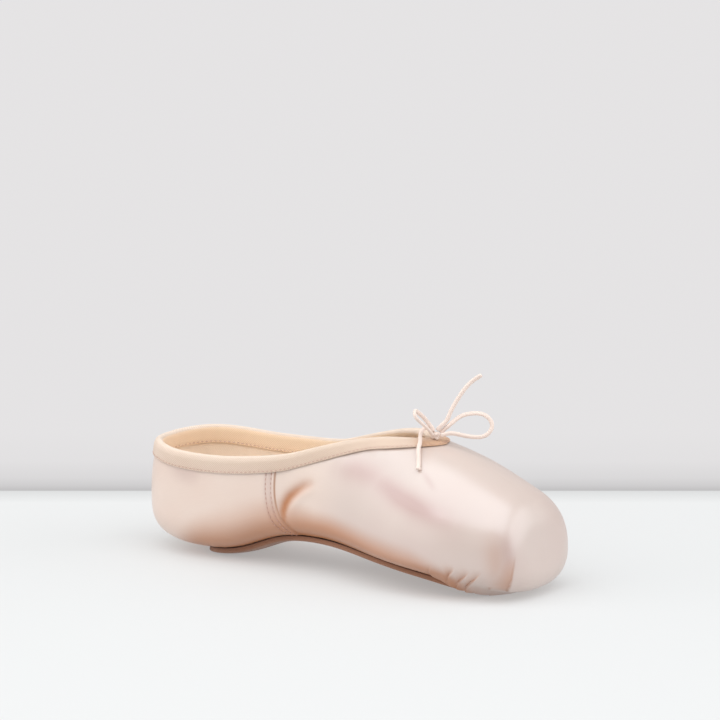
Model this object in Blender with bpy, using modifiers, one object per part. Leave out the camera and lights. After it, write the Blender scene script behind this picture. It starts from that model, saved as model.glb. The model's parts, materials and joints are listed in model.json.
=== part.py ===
"""A pointe shoe, standing empty on its sole: hollow upper, binding, outsole, insole and a drawstring bow.

Metres. X runs from the heel's back to the toe, Z is up and the ground is z = 0. The shoe is straight,
so its right half is modelled and mirrored. Every shell follows one closed form, the last, which is a
function below zero inside and above zero outside. Half planes round the shoe cut it into profiles.
"""

import bmesh
import bpy
import numpy as np

# Main form
LENGTH = 0.238  # heel's back to the platform's plane at the ground
HEEL_DEPTH = 0.040  # heel's back to the axis that its curve turns round
BALL_HALF = 0.040  # half of the widest outside width
INSTEP = 0.0725  # height that the closed form's top lines follow
HEEL_HEIGHT = 0.055  # height of the upper's edge at the heel's back
THROAT_HEIGHT = 0.072  # and at the throat
ARCH_RISE = 0.0116  # lift of the waist above the heel and the ball
HEEL_ROUND = 2.25  # squareness of the heel in plan
PLATFORM_LEAN = np.radians(6.5)
PLATFORM_ROUND = 0.012  # softness of the platform's edge

# Walls and layers
QUARTER_WALL = 0.0016
BOX_WALL = 0.0030  # stiffened toe box
LAP = 0.0005  # quarter lapped over the vamp
LAP_FADE = 0.004
GAP = 0.0003  # between pieces that meet
SEAT = 0.0004  # between the upper and the sole's layers
TAPE = 0.0008
TAPE_OUTER = 0.0068  # binding's depth below the edge, outside
TAPE_THROAT = 0.0048  # and at the throat, where it is gathered
TAPE_INNER = 0.0075
TAPE_BEAD = 1.3  # fullness of the outer leaf where the casing holds the cord
OUTSOLE_THICK = 0.0027
OUTSOLE_WORN = 0.0006  # pressed flat where it meets the ground
OUTSOLE_ROUND = 0.0008  # softened lower edge
INSOLE_THICK = 0.0018
SOLE_BACK = 0.034  # outsole's ends, in from the heel's back and from the platform
SOLE_SET = 0.021
SOLE_LAP = 0.0060  # outsole past the opening in the upper
INSOLE_LAP = 0.0075
SOLE_MIDDLE = 0.0115  # innermost ring of a sole layer
HEEL_END = 0.020  # length over which the sole's ends are rounded
TOE_END = 0.026

# Drawstring
CORD = 0.0020
KNOT_LONG = 0.0052
KNOT_WIDE = 0.0046
KNOT_HIGH = 0.0040
KNOT_AHEAD = 0.0015  # knot's middle, ahead of the throat's edge
KNOT_ASIDE = 0.0030  # and to the right of the ridge

# Meshes
ROUND_STEPS = 36  # columns of a half
UP_STEPS = 20  # rows from the sole to the collar
SOLE_STEPS = 34
PROBE = 2e-5
FAN_HEEL = 0.062  # the rear half planes turn round an axis this far from the heel's back
FAN_THROAT = 0.024  # and the front ones round an axis this far behind the throat

STACK = OUTSOLE_THICK + SEAT - OUTSOLE_WORN  # upper's underside where the shoe stands

# Sections across the shoe. half is a share of BALL_HALF, under of ARCH_RISE, widest and ridge (the
# heights of the widest line and of the closed top) of INSTEP. below and above are the curves' squareness.
SECTION_COLUMNS = ("x", "half", "under", "widest", "ridge", "below", "above")
SECTION_UNITS = (LENGTH, BALL_HALF, ARCH_RISE, INSTEP, INSTEP, 1, 1)
SECTIONS = (
    (0.08, 0.84, 0.00, 0.33, 1.65, 2.7, 2.4),
    (0.16, 0.84, 0.00, 0.33, 1.63, 2.7, 2.4),
    (0.22, 0.84, 0.03, 0.33, 1.62, 2.7, 2.4),
    (0.28, 0.83, 0.33, 0.35, 1.59, 2.6, 2.3),
    (0.35, 0.76, 0.86, 0.38, 1.49, 2.4, 2.2),
    (0.44, 0.67, 1.06, 0.40, 1.31, 2.4, 2.1),
    (0.53, 0.71, 0.97, 0.37, 1.15, 2.4, 2.0),
    (0.62, 0.85, 0.76, 0.32, 1.07, 2.3, 2.0),
    (0.71, 0.97, 0.57, 0.27, 1.00, 2.2, 2.0),
    (0.80, 1.00, 0.31, 0.26, 0.91, 2.2, 2.1),
    (0.86, 0.95, 0.07, 0.26, 0.83, 2.2, 2.2),
    (0.92, 0.86, 0.00, 0.26, 0.74, 2.3, 2.3),
    (1.00, 0.73, 0.00, 0.28, 0.61, 2.4, 2.5),
    (1.06, 0.63, 0.00, 0.30, 0.52, 2.4, 2.5),
)
# Collar edge: x of LENGTH, rise from HEEL_HEIGHT (0) to THROAT_HEIGHT (1).
COLLAR = (
    (0.00, 0.00),
    (0.05, 0.03),
    (0.10, -0.03),
    (0.17, -0.09),
    (0.25, -0.07),
    (0.31, 0.00),
    (0.36, 0.08),
    (0.40, 0.18),
    (0.45, 0.39),
    (0.50, 0.61),
    (0.56, 0.84),
    (0.62, 0.99),
    (0.70, 1.02),
    (0.80, 0.98),
)
# Heel's back wall: height of HEEL_HEIGHT, distance ahead of the rearmost point of HEEL_DEPTH.
BACK = ((0.0, 0.03), (0.3, 0.02), (0.62, 0.01), (0.85, 0.05), (1.08, 0.13), (1.5, 0.24), (2.1, 0.37))
# Outsole: x of LENGTH, half width of BALL_HALF.
SOLE = (
    (0.00, 0.50),
    (0.16, 0.53),
    (0.30, 0.46),
    (0.42, 0.43),
    (0.55, 0.52),
    (0.70, 0.68),
    (0.80, 0.70),
    (0.95, 0.62),
)
# Side seam: height up the wall from the opening (0) to the collar (1), x of LENGTH.
SEAM = ((0.00, 0.418), (0.15, 0.416), (0.28, 0.408), (0.42, 0.394), (0.55, 0.385), (1.00, 0.383))
SEAM_WIDTH = 0.0003  # length of the quarter's cut edge

# The bow's cords, in millimetres from the knot's middle: ahead, left, up.
LOOP_FAR = (
    (1.6, 2.5, 1.0),
    (3.0, 3.6, 2.8),
    (5.5, 4.6, 5.1),
    (9.5, 7.8, 9.2),
    (15.5, 10.8, 11.2),
    (21.5, 13.8, 10.0),
    (24.3, 14.8, 5.5),
    (22.8, 12.0, 0.8),
    (18.5, 9.0, -0.3),
    (11.5, 6.0, 0.5),
    (6.6, 3.2, 1.2),
    (3.2, 0.2, 0.2),
)
LOOP_NEAR = (
    (-0.4, -1.1, 2.5),
    (-1.2, -1.6, 4.2),
    (-2.3, -2.9, 6.4),
    (-3.3, -5.6, 9.6),
    (-3.9, -9.6, 12.7),
    (-3.5, -13.3, 14.0),
    (-2.4, -14.9, 12.4),
    (-1.1, -12.4, 8.9),
    (-0.3, -7.9, 5.4),
    (0.0, -4.4, 2.4),
    (0.1, -2.9, 0.9),
)
END_UP = (
    (0.6, 0.9, 2.5),
    (1.7, 1.8, 4.2),
    (4.0, 4.1, 7.3),
    (5.2, 5.2, 10.8),
    (7.2, 7.2, 16.1),
    (10.2, 9.4, 22.0),
    (13.4, 11.8, 26.6),
    (18.6, 13.5, 30.6),
)
END_DOWN = ((-2.4, 0.1, 1.9), (-4.0, -1.8, 3.9), (-4.4, -4.4, 3.2), (-4.5, -6.2, 1.6))
# The same end where it lies on the vamp: ahead and left of the knot, share of the tape under it.
END_LYING = ((-3.8, -11.2, 1.0), (-1.9, -15.0, 1.0), (0.7, -18.8, 0.3), (3.9, -23.6, 0.0))


def spline(x, table):
    """Natural cubic spline through a table's two columns, straight beyond its ends."""
    xs, ys = np.array(table, float).T
    n, h = len(xs), np.diff(xs)
    system, right = np.eye(n), np.zeros(n)
    for i in range(1, n - 1):
        system[i, i - 1 : i + 2] = h[i - 1], 2 * (h[i - 1] + h[i]), h[i]
        right[i] = 6 * ((ys[i + 1] - ys[i]) / h[i] - (ys[i] - ys[i - 1]) / h[i - 1])
    m = np.linalg.solve(system, right)
    i = np.clip(np.searchsorted(xs, x) - 1, 0, n - 2)
    t, step = x - xs[i], h[i]
    slope = (ys[i + 1] - ys[i]) / step - step * (2 * m[i] + m[i + 1]) / 6
    curve = ys[i] + slope * t + m[i] / 2 * t**2 + (m[i + 1] - m[i]) / (6 * step) * t**3
    first = (ys[1] - ys[0]) / h[0] - h[0] * (2 * m[0] + m[1]) / 6
    last = (ys[-1] - ys[-2]) / h[-1] + h[-1] * (m[-2] + 2 * m[-1]) / 6
    curve = np.where(x < xs[0], ys[0] + first * (x - xs[0]), curve)
    return np.where(x > xs[-1], ys[-1] + last * (x - xs[-1]), curve)


def section(name, x):
    k = SECTION_COLUMNS.index(name)
    return spline(x / LENGTH, [(row[0], row[k]) for row in SECTIONS]) * SECTION_UNITS[k]


def collar_height(x):
    return HEEL_HEIGHT + (THROAT_HEIGHT - HEEL_HEIGHT) * spline(x / LENGTH, COLLAR)


def norm(a, b, n):
    return (np.abs(a) ** n + np.abs(b) ** n) ** (1 / n)


def smooth_max(a, b, soft):
    h = np.clip(0.5 + 0.5 * (a - b) / soft, 0, 1)
    return b + (a - b) * h + soft * h * (1 - h)


def last(x, y, z):
    """Below zero inside the last and above zero outside it, about in metres near its surface."""
    ahead = np.maximum(x, HEEL_DEPTH)
    half, under, widest, ridge, below, above = (section(c, ahead) for c in SECTION_COLUMNS[1:])
    under = STACK + np.maximum(under, 0)
    low = z < widest
    height = np.where(low, widest - under, ridge - widest)
    square = np.where(low, below, above)
    body = (norm(y / half, (z - widest) / height, square) - 1) * np.minimum(half, height)
    platform = (x - LENGTH) * np.cos(PLATFORM_LEAN) + z * np.sin(PLATFORM_LEAN)
    fore = smooth_max(body, platform, PLATFORM_ROUND)
    share = np.clip(1 - np.clip(np.abs(z - widest) / height, 0, 1) ** square, 1e-9, 1) ** (1 / square)
    back = spline(z / HEEL_HEIGHT, BACK) * HEEL_DEPTH
    depth = np.maximum((HEEL_DEPTH - back) * np.where(low, share, 1), 1e-5)
    side = np.maximum(half * share, 1e-5)
    heel = (norm((HEEL_DEPTH - x) / depth, y / side, HEEL_ROUND) - 1) * np.minimum(side, depth)
    heel = np.maximum(heel, under - z)
    return np.where(x < HEEL_DEPTH, heel, fore)


def normal(points):
    x, y, z = np.moveaxis(points, -1, 0)
    slope = [
        last(x + PROBE, y, z) - last(x - PROBE, y, z),
        last(x, y + PROBE, z) - last(x, y - PROBE, z),
        last(x, y, z + PROBE) - last(x, y, z - PROBE),
    ]
    slope = np.stack(slope, -1)
    return slope / np.linalg.norm(slope, axis=-1, keepdims=True)


def reach(start, way):
    """Points where the lines from start along way leave the last."""
    near, far = np.zeros(start.shape[:-1]), np.full(start.shape[:-1], LENGTH)
    for _ in range(36):
        middle = (near + far) / 2
        outside = last(*np.moveaxis(start + way * middle[..., None], -1, 0)) > 0
        far = np.where(outside, middle, far)
        near = np.where(outside, near, middle)
    return start + way * near[..., None]


def walk(points):
    """Distance along a line of points, from 0 to 1, and its length."""
    along = np.concatenate([[0], np.cumsum(np.linalg.norm(np.diff(points, axis=0), axis=1))])
    return along / along[-1], along[-1]


def sample(points, at):
    """Point of a line at shares of its length."""
    along, _ = walk(points)
    return np.stack([np.interp(at, along, column) for column in points.T], -1)


def sole_half(x, inset):
    """Half width of the sole's outline, moved in by inset. Below zero past its ends."""
    width = spline(x / LENGTH, SOLE) * BALL_HALF - inset
    back = (x - SOLE_BACK - inset) / HEEL_END
    front = (LENGTH - SOLE_SET - inset - x) / TOE_END
    end = np.clip(np.minimum(back, front), -1, 1)
    return np.where(end < 0, end, np.sqrt(np.maximum(1 - (1 - end) ** 2, 0))) * width


def throat():
    """x where the collar's edge crosses the vamp's ridge."""
    x = np.linspace(LENGTH / 2, LENGTH, 2000)
    return x[np.argmax(collar_height(x) > section("ridge", x))]


def half_planes(count):
    """Axis and direction of each half plane, spread evenly round the shoe from heel to toe."""
    fan = np.linspace(0, np.pi / 2, 160)
    front = throat() - FAN_THROAT
    axis = np.concatenate([fan * 0 + FAN_HEEL, np.linspace(FAN_HEEL, front, 160), fan * 0 + front])
    turn = np.concatenate([fan, fan * 0 + np.pi / 2, np.pi / 2 + fan])
    start = np.stack([axis, axis * 0, axis * 0 + INSTEP * 0.3], -1)
    way = np.stack([-np.cos(turn), -np.sin(turn), turn * 0], -1)
    outline = reach(start, way)
    along, _ = walk(outline)
    at = np.linspace(0, 1, count)
    return np.interp(at, along, axis), np.interp(at, along, turn)


def wall_grid(columns, rows):
    """The last's surface from the sole's opening (row 0) to the collar, heel's back to toe on the right."""
    axis, turn = half_planes(columns)
    away = np.stack([-np.cos(turn), -np.sin(turn), turn * 0], -1)
    base = np.stack([axis, axis * 0, axis * 0 + INSTEP * 0.3], -1)
    rim = reach(base, away)
    start = base + (rim - base) * 0.42
    start[:, 2] = section("widest", np.maximum(start[:, 0], HEEL_DEPTH)) + INSTEP * 0.055
    angle = np.radians(np.linspace(-165, 175, 400))
    way = away[:, None] * np.cos(angle)[:, None] + np.array([0, 0, 1]) * np.sin(angle)[:, None]
    profiles = reach(np.repeat(start[:, None], len(angle), 1), way)
    level = np.argmax(angle > 0)
    grid = []
    for line in profiles:
        up = line[:, 2] - collar_height(line[:, 0])
        k = level + np.argmax(up[level:] > 0)
        top = line[k - 1] + (line[k] - line[k - 1]) * up[k - 1] / (up[k - 1] - up[k])
        inside = sole_half(line[:, 0], SOLE_LAP) - np.abs(line[:, 1])
        j = np.nonzero(inside[:level] > 0)[0][-1]
        foot = line[j] + (line[j + 1] - line[j]) * inside[j] / (inside[j] - inside[j + 1])
        line = np.concatenate([foot[None], line[j + 1 : k], top[None]])
        grid.append(sample(line, row_shares(line, rows)))
    return np.array(grid)


def row_shares(line, rows):
    """Shares of a profile's length, closer together where it bends."""
    along, length = walk(line)
    even = sample(line, np.linspace(0, 1, 80))
    step = np.diff(even, axis=0)
    step /= np.linalg.norm(step, axis=1, keepdims=True)
    bend = np.linalg.norm(np.diff(step, axis=0), axis=1)
    bend = np.convolve(np.pad(bend, 6, "edge"), np.ones(13) / 13, "valid")
    weight = 1 + 30 * np.concatenate([bend[:1], bend, bend[-1:]])
    total = np.concatenate([[0], np.cumsum((weight[1:] + weight[:-1]) / 2)])
    return np.interp(np.linspace(0, 1, rows), total / total[-1], np.linspace(0, 1, 80))


def seam_columns(grid):
    """Columns moved so that two of them follow the side seam, the second at its foot on the vamp."""
    count, rows = grid.shape[:2]
    columns = np.arange(count, dtype=float)
    side = slice(0, count * 3 // 4)
    home = int(round(np.interp(SEAM[-1][1] * LENGTH, grid[side, -1, 0], columns[side])))
    rise, _ = walk(grid[home])
    seam_x = spline(rise, SEAM) * LENGTH
    place = [np.interp(seam_x[r], grid[side, r, 0], columns[side]) for r in range(rows)]
    foot = SEAM_WIDTH / np.linalg.norm(grid[home + 1, -1] - grid[home, -1])
    out = []
    for index, number in enumerate(np.insert(columns, home + 1, home)):
        spread = np.interp(number, [0, home, count - 1], [0, 1, 2])
        line = []
        for r in range(rows):
            at = np.interp(spread, [0, 1, 2], [0, place[r], count - 1]) + (index == home + 1) * foot
            i = min(int(at), count - 2)
            line.append(grid[i, r] + (grid[i + 1, r] - grid[i, r]) * (at - i))
        out.append(line)
    return np.array(out), home


def wall(x):
    """Thickness of the upper, thin at the quarters and thick in the toe box."""
    share = np.clip((x / LENGTH - 0.55) / 0.27, 0, 1)
    return QUARTER_WALL + (BOX_WALL - QUARTER_WALL) * share * share * (3 - 2 * share)


def material(name, colour, roughness):
    made = bpy.data.materials.new(name)
    made.use_nodes = True
    shader = made.node_tree.nodes["Principled BSDF"]
    shader.inputs["Base Color"].default_value = (*colour, 1)
    shader.inputs["Roughness"].default_value = roughness
    shader.inputs["Metallic"].default_value = 0
    return made


def add(name, mesh_or_curve, look):
    piece = bpy.data.objects.new(name, mesh_or_curve)
    mesh_or_curve.materials.append(look)
    collection.objects.link(piece)
    piece.parent = origin
    return piece


def mirrored(name, grid, closed, look):
    """A half shell lofted through a grid of profiles, whose open edges lie on y = 0, and its mirror image."""
    shell = bmesh.new()
    rows = [[shell.verts.new(point) for point in profile] for profile in grid]
    width = len(rows[0])
    for near, far in zip(rows, rows[1:]):
        for k in range(width if closed else width - 1):
            shell.faces.new((near[k], far[k], far[(k + 1) % width], near[(k + 1) % width]))
    bmesh.ops.remove_doubles(shell, verts=shell.verts, dist=1e-6)
    mesh = bpy.data.meshes.new(name)
    shell.to_mesh(mesh)
    shell.free()
    mesh.shade_smooth()
    mesh.set_sharp_from_angle(angle=np.radians(40))
    piece = add(name, mesh, look)
    mirror = piece.modifiers.new("Left half", "MIRROR")
    mirror.use_axis = (False, True, False)
    mirror.merge_threshold = 1e-5
    return piece


def quarter_lap(grid, home):
    """How far the quarter stands off the vamp, fading out where the outsole covers it."""
    bare = np.abs(grid[..., 1]) - sole_half(grid[..., 0], 0)
    lap = LAP * np.clip(bare / LAP_FADE, 0, 1)
    lap[home + 1 :] = 0
    return lap[..., None]


def make_upper(grid, out, home, look):
    outer = grid + out * quarter_lap(grid, home)
    inner = grid - out * wall(grid[..., :1])
    return mirrored("upper", np.concatenate([outer, inner[:, ::-1]], 1), True, look)


def make_binding(grid, out, home, look):
    """Tape folded over the collar's edge: outer leaf, round bead, inner leaf, and back along the wall."""
    profiles = []
    for number, (line, sides) in enumerate(zip(grid, out)):
        down, length = walk(line[::-1])
        lap = LAP if number <= home else 0
        thick = wall(line[-1, 0])
        rise = line[-1] - line[-2]
        rise = rise / np.linalg.norm(rise)
        share = np.clip((line[-1, 0] / throat() - 0.65) / 0.35, 0, 1)
        depth = TAPE_OUTER + (TAPE_THROAT - TAPE_OUTER) * share * share * (3 - 2 * share)

        def leaf(below, offset):
            at = np.array(below) / length
            point = np.stack([np.interp(at, down, c) for c in line[::-1].T], -1)
            side = np.stack([np.interp(at, down, c) for c in sides[::-1].T], -1)
            return point + side * np.array(offset)[..., None]

        near, far = lap + GAP, -thick - GAP
        edge = line[-1] + rise * GAP
        round_ = (near - far) / 2 + TAPE
        turn = np.linspace(0, np.pi, 7)[1:-1]
        centre = edge + sides[-1] * (near + far) / 2
        bead = [centre + sides[-1] * np.cos(t) * round_ + rise * np.sin(t) * round_ * 0.9 for t in turn]
        shares = np.array([1.0, 0.55, 0.2])
        profile = [
            leaf(depth * shares, [near + TAPE, near + TAPE, near + TAPE * TAPE_BEAD]),
            bead,
            leaf(TAPE_INNER * shares[::-1], [far - TAPE] * 3),
            leaf(TAPE_INNER * shares[:2], [far] * 2),
            [edge + sides[-1] * far, edge + sides[-1] * near],
            leaf(depth * shares[1::-1], [near] * 2),
        ]
        profiles.append(np.concatenate(profile))
    return mirrored("binding", np.array(profiles), True, look)


def sole_points(inset, walls, offset):
    """A half outline of the sole, rear tip to front tip, under or over the upper's wall."""
    back, front = SOLE_BACK + inset, LENGTH - SOLE_SET - inset
    x = (back + front) / 2 - (front - back) / 2 * np.cos(np.linspace(0, np.pi, SOLE_STEPS + 1))
    y = -np.maximum(sole_half(x, inset), 0)
    y[[0, -1]] = 0
    return underside(x, y, walls, offset)


def underside(x, y, walls, offset):
    start = np.stack([x, y, section("widest", np.maximum(x, HEEL_DEPTH))], -1)
    points = reach(start, np.array([0.0, 0.0, -1.0]))
    points = points + normal(points) * (offset - walls * wall(x))[..., None]
    points[np.abs(y) < 1e-9, 1] = 0
    return points


def sole_layer(name, rings, look):
    """A layer of the sole through rings of (inset, walls above the last, offset), closed at the middle."""
    lines = [sole_points(*ring) for ring in rings]
    ends = [underside(line[:, 0], line[:, 0] * 0, *ring[1:]) for line, ring in zip(lines, rings)]
    grid = np.stack([ends[0], *lines, ends[-1]], 1)
    grid[..., 2] = np.maximum(grid[..., 2], 0)
    return mirrored(name, grid, False, look)


def make_outsole(look):
    low = SEAT + OUTSOLE_THICK
    under = [(inset, 0, low) for inset in (SOLE_MIDDLE, SOLE_LAP, SOLE_LAP * 0.4)]
    under.append((OUTSOLE_ROUND * 0.5, 0, low - OUTSOLE_ROUND * 0.35))
    edge = [(0, 0, low - OUTSOLE_ROUND), (0, 0, SEAT + OUTSOLE_ROUND * 0.5), (OUTSOLE_ROUND * 0.5, 0, SEAT)]
    over = [(inset, 0, SEAT) for inset in (SOLE_LAP * 0.5, SOLE_LAP + SEAT, SOLE_MIDDLE)]
    return sole_layer("outsole", under + edge + over, look)


def make_insole(look):
    """Insole board over the upper's turned-in margin, with the shank that fills the opening below it."""
    fill, edge = SOLE_LAP + 2 * SEAT, SOLE_LAP - INSOLE_LAP
    shank = [(SOLE_MIDDLE, 0, 0), (fill, 0, 0)]
    board = [(fill, 1, -SEAT), (SOLE_LAP / 2, 1, -SEAT), (edge, 1, -SEAT)]
    top = [(inset, 1, -SEAT - INSOLE_THICK) for inset in (edge, SOLE_LAP / 2, fill, SOLE_MIDDLE)]
    return sole_layer("insole", shank + board + top, look)


def above(x, y, offset):
    """A point over the closed form, and the way out of it there."""
    point = reach(np.array([x, y, section("widest", x)]), np.array([0.0, 0.0, 1.0]))
    way = normal(point)
    return point + way * offset, way


def make_knot(look):
    """Set on the tape at the throat, tilted with it. Returns its middle."""
    ahead = throat() + KNOT_AHEAD
    middle, way = above(ahead, -KNOT_ASIDE, TAPE + 2 * GAP + KNOT_HIGH / 2)
    ball = bmesh.new()
    bmesh.ops.create_uvsphere(ball, u_segments=14, v_segments=9, radius=0.5)
    mesh = bpy.data.meshes.new("drawstring_knot")
    ball.to_mesh(mesh)
    ball.free()
    mesh.shade_smooth()
    knot = add("drawstring_knot", mesh, look)
    knot.scale = (KNOT_LONG, KNOT_WIDE, KNOT_HIGH)
    knot.rotation_euler = (0, np.arctan2(way[0], way[2]), 0)
    knot.location = middle
    return middle


def make_bow(middle, look):
    for name, table in (("loop_far", LOOP_FAR), ("loop_near", LOOP_NEAR), ("end_up", END_UP)):
        cord("drawstring_" + name, middle + np.array(table) / 1000, look)
    route = list(middle + np.array(END_DOWN) / 1000)
    for ahead, left, tape_share in END_LYING:
        offset = CORD / 2 + GAP + tape_share * (TAPE_BEAD * TAPE + GAP)
        route.append(above(middle[0] + ahead / 1000, left / 1000, offset)[0])
    cord("drawstring_end_down", route, look)


def smooth_route(points, step):
    """Points every step along a smooth curve through hand-chosen points."""
    points = np.array(points)
    along, _ = walk(points)
    fine = np.linspace(0, 1, 200)
    curve = np.stack([spline(fine, list(zip(along, column))) for column in points.T], -1)
    _, length = walk(curve)
    return sample(curve, np.linspace(0, 1, max(int(round(length / step)), 3) + 1))


def cord(name, points, look):
    curve = bpy.data.curves.new(name, "CURVE")
    curve.dimensions = "3D"
    curve.bevel_depth = CORD / 2
    curve.bevel_resolution = 2
    curve.use_fill_caps = True
    line = curve.splines.new("POLY")
    route = smooth_route(points, CORD * 2)
    line.points.add(len(route) - 1)
    for spot, point in zip(line.points, route):
        spot.co = (*point, 1)
    return add(name, curve, look)


for old in list(bpy.data.objects):
    bpy.data.objects.remove(old)
collection = bpy.data.collections.new("pointe_shoe")
bpy.context.scene.collection.children.link(collection)

satin = material("Pink satin", (0.78, 0.62, 0.55), 0.32)
tape = material("Cotton binding", (0.85, 0.68, 0.56), 0.85)
suede = material("Suede outsole", (0.36, 0.18, 0.12), 0.9)
board = material("Insole lining", (0.76, 0.52, 0.35), 0.9)
cotton = material("Drawstring cotton", (0.86, 0.66, 0.56), 0.8)

surface, seam = seam_columns(wall_grid(ROUND_STEPS, UP_STEPS))
outward = normal(surface)
surface[[0, -1], :, 1] = 0
outward[[0, -1], :, 1] = 0

# Everything hangs on an empty, which puts the world's origin under the middle of the shoe.
origin = bpy.data.objects.new("shoe_origin", None)
origin.location.x = -(surface[..., 0].min() - LAP + surface[..., 0].max()) / 2
collection.objects.link(origin)

make_upper(surface, outward, seam, satin)
make_binding(surface, outward, seam, tape)
make_outsole(suede)
make_insole(board)
make_bow(make_knot(cotton), cotton)
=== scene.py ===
"""Looks of a pointe shoe: satin over a stiff box, cotton binding and lining, suede sole, drawstring bow.

Metres. The form is worked out as in the solids, from the heel's back (x = 0), and then moved to where the
frame has the upper. Tables of lengths give shares of the named sizes. The right side is the near one.
"""

import json

import bpy
import numpy as np
from mathutils import Matrix, Vector
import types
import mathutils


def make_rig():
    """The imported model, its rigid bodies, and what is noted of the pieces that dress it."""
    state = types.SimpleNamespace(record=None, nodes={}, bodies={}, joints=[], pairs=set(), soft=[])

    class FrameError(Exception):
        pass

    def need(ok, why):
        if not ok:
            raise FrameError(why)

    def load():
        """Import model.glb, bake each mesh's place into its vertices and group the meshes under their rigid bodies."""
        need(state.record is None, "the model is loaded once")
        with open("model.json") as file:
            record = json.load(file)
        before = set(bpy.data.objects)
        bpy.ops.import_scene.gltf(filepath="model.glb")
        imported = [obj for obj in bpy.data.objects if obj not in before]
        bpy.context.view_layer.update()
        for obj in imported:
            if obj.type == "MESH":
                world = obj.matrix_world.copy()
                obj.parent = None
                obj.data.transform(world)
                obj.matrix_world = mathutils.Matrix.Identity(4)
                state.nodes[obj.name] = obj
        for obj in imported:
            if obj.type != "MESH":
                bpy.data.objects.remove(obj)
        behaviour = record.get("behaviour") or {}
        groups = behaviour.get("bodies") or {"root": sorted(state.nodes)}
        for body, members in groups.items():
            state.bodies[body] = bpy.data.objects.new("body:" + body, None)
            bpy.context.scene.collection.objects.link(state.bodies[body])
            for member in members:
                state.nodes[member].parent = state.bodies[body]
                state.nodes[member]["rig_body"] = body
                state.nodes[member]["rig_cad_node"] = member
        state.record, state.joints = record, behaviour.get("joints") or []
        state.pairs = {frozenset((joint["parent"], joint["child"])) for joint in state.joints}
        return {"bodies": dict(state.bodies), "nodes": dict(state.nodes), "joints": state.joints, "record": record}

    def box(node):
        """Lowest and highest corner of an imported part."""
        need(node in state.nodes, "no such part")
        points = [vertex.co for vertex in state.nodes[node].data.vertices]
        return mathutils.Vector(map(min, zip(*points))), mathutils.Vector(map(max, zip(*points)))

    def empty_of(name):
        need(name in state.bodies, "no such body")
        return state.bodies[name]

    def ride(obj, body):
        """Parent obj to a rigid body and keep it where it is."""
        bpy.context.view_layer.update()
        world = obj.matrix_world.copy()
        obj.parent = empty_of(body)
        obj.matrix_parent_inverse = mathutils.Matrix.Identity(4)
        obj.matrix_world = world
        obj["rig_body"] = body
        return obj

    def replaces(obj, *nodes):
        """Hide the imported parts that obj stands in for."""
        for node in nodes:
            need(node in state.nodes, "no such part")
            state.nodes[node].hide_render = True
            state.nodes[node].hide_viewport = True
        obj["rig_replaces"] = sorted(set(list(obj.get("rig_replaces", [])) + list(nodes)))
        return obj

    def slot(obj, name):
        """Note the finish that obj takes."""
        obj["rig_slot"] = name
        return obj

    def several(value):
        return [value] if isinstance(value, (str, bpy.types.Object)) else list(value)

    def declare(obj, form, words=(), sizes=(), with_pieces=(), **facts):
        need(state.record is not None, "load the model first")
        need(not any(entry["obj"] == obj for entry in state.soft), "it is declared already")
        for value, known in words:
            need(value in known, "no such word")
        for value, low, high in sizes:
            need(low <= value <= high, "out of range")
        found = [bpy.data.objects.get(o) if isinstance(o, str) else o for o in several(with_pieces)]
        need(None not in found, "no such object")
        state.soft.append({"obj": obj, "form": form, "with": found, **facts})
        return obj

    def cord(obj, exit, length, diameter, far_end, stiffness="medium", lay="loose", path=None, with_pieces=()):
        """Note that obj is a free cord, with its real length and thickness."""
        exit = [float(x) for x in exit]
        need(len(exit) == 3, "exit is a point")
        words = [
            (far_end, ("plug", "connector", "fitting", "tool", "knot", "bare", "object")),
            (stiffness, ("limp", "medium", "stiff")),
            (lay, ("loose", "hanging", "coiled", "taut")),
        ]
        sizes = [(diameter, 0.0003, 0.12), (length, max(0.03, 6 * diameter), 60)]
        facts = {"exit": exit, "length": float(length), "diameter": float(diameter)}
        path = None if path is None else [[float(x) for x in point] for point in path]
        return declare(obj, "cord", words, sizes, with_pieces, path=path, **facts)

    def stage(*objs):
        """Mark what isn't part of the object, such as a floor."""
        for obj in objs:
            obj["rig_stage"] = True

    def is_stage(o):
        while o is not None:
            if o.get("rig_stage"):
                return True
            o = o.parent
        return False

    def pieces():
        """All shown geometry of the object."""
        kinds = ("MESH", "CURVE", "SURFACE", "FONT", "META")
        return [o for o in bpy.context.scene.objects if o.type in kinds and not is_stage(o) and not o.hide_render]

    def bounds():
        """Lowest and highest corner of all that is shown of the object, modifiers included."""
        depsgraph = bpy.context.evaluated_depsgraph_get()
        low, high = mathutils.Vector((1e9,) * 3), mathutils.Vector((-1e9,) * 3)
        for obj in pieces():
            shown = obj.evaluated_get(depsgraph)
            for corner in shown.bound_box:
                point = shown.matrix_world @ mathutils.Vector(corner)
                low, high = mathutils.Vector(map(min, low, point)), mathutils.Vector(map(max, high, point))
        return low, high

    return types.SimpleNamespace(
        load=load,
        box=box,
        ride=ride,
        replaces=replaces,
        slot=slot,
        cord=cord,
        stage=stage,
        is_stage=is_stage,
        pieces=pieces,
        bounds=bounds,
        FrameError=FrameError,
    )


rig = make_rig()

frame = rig.load()
cad_box = [list(corner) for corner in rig.bounds()]

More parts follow.
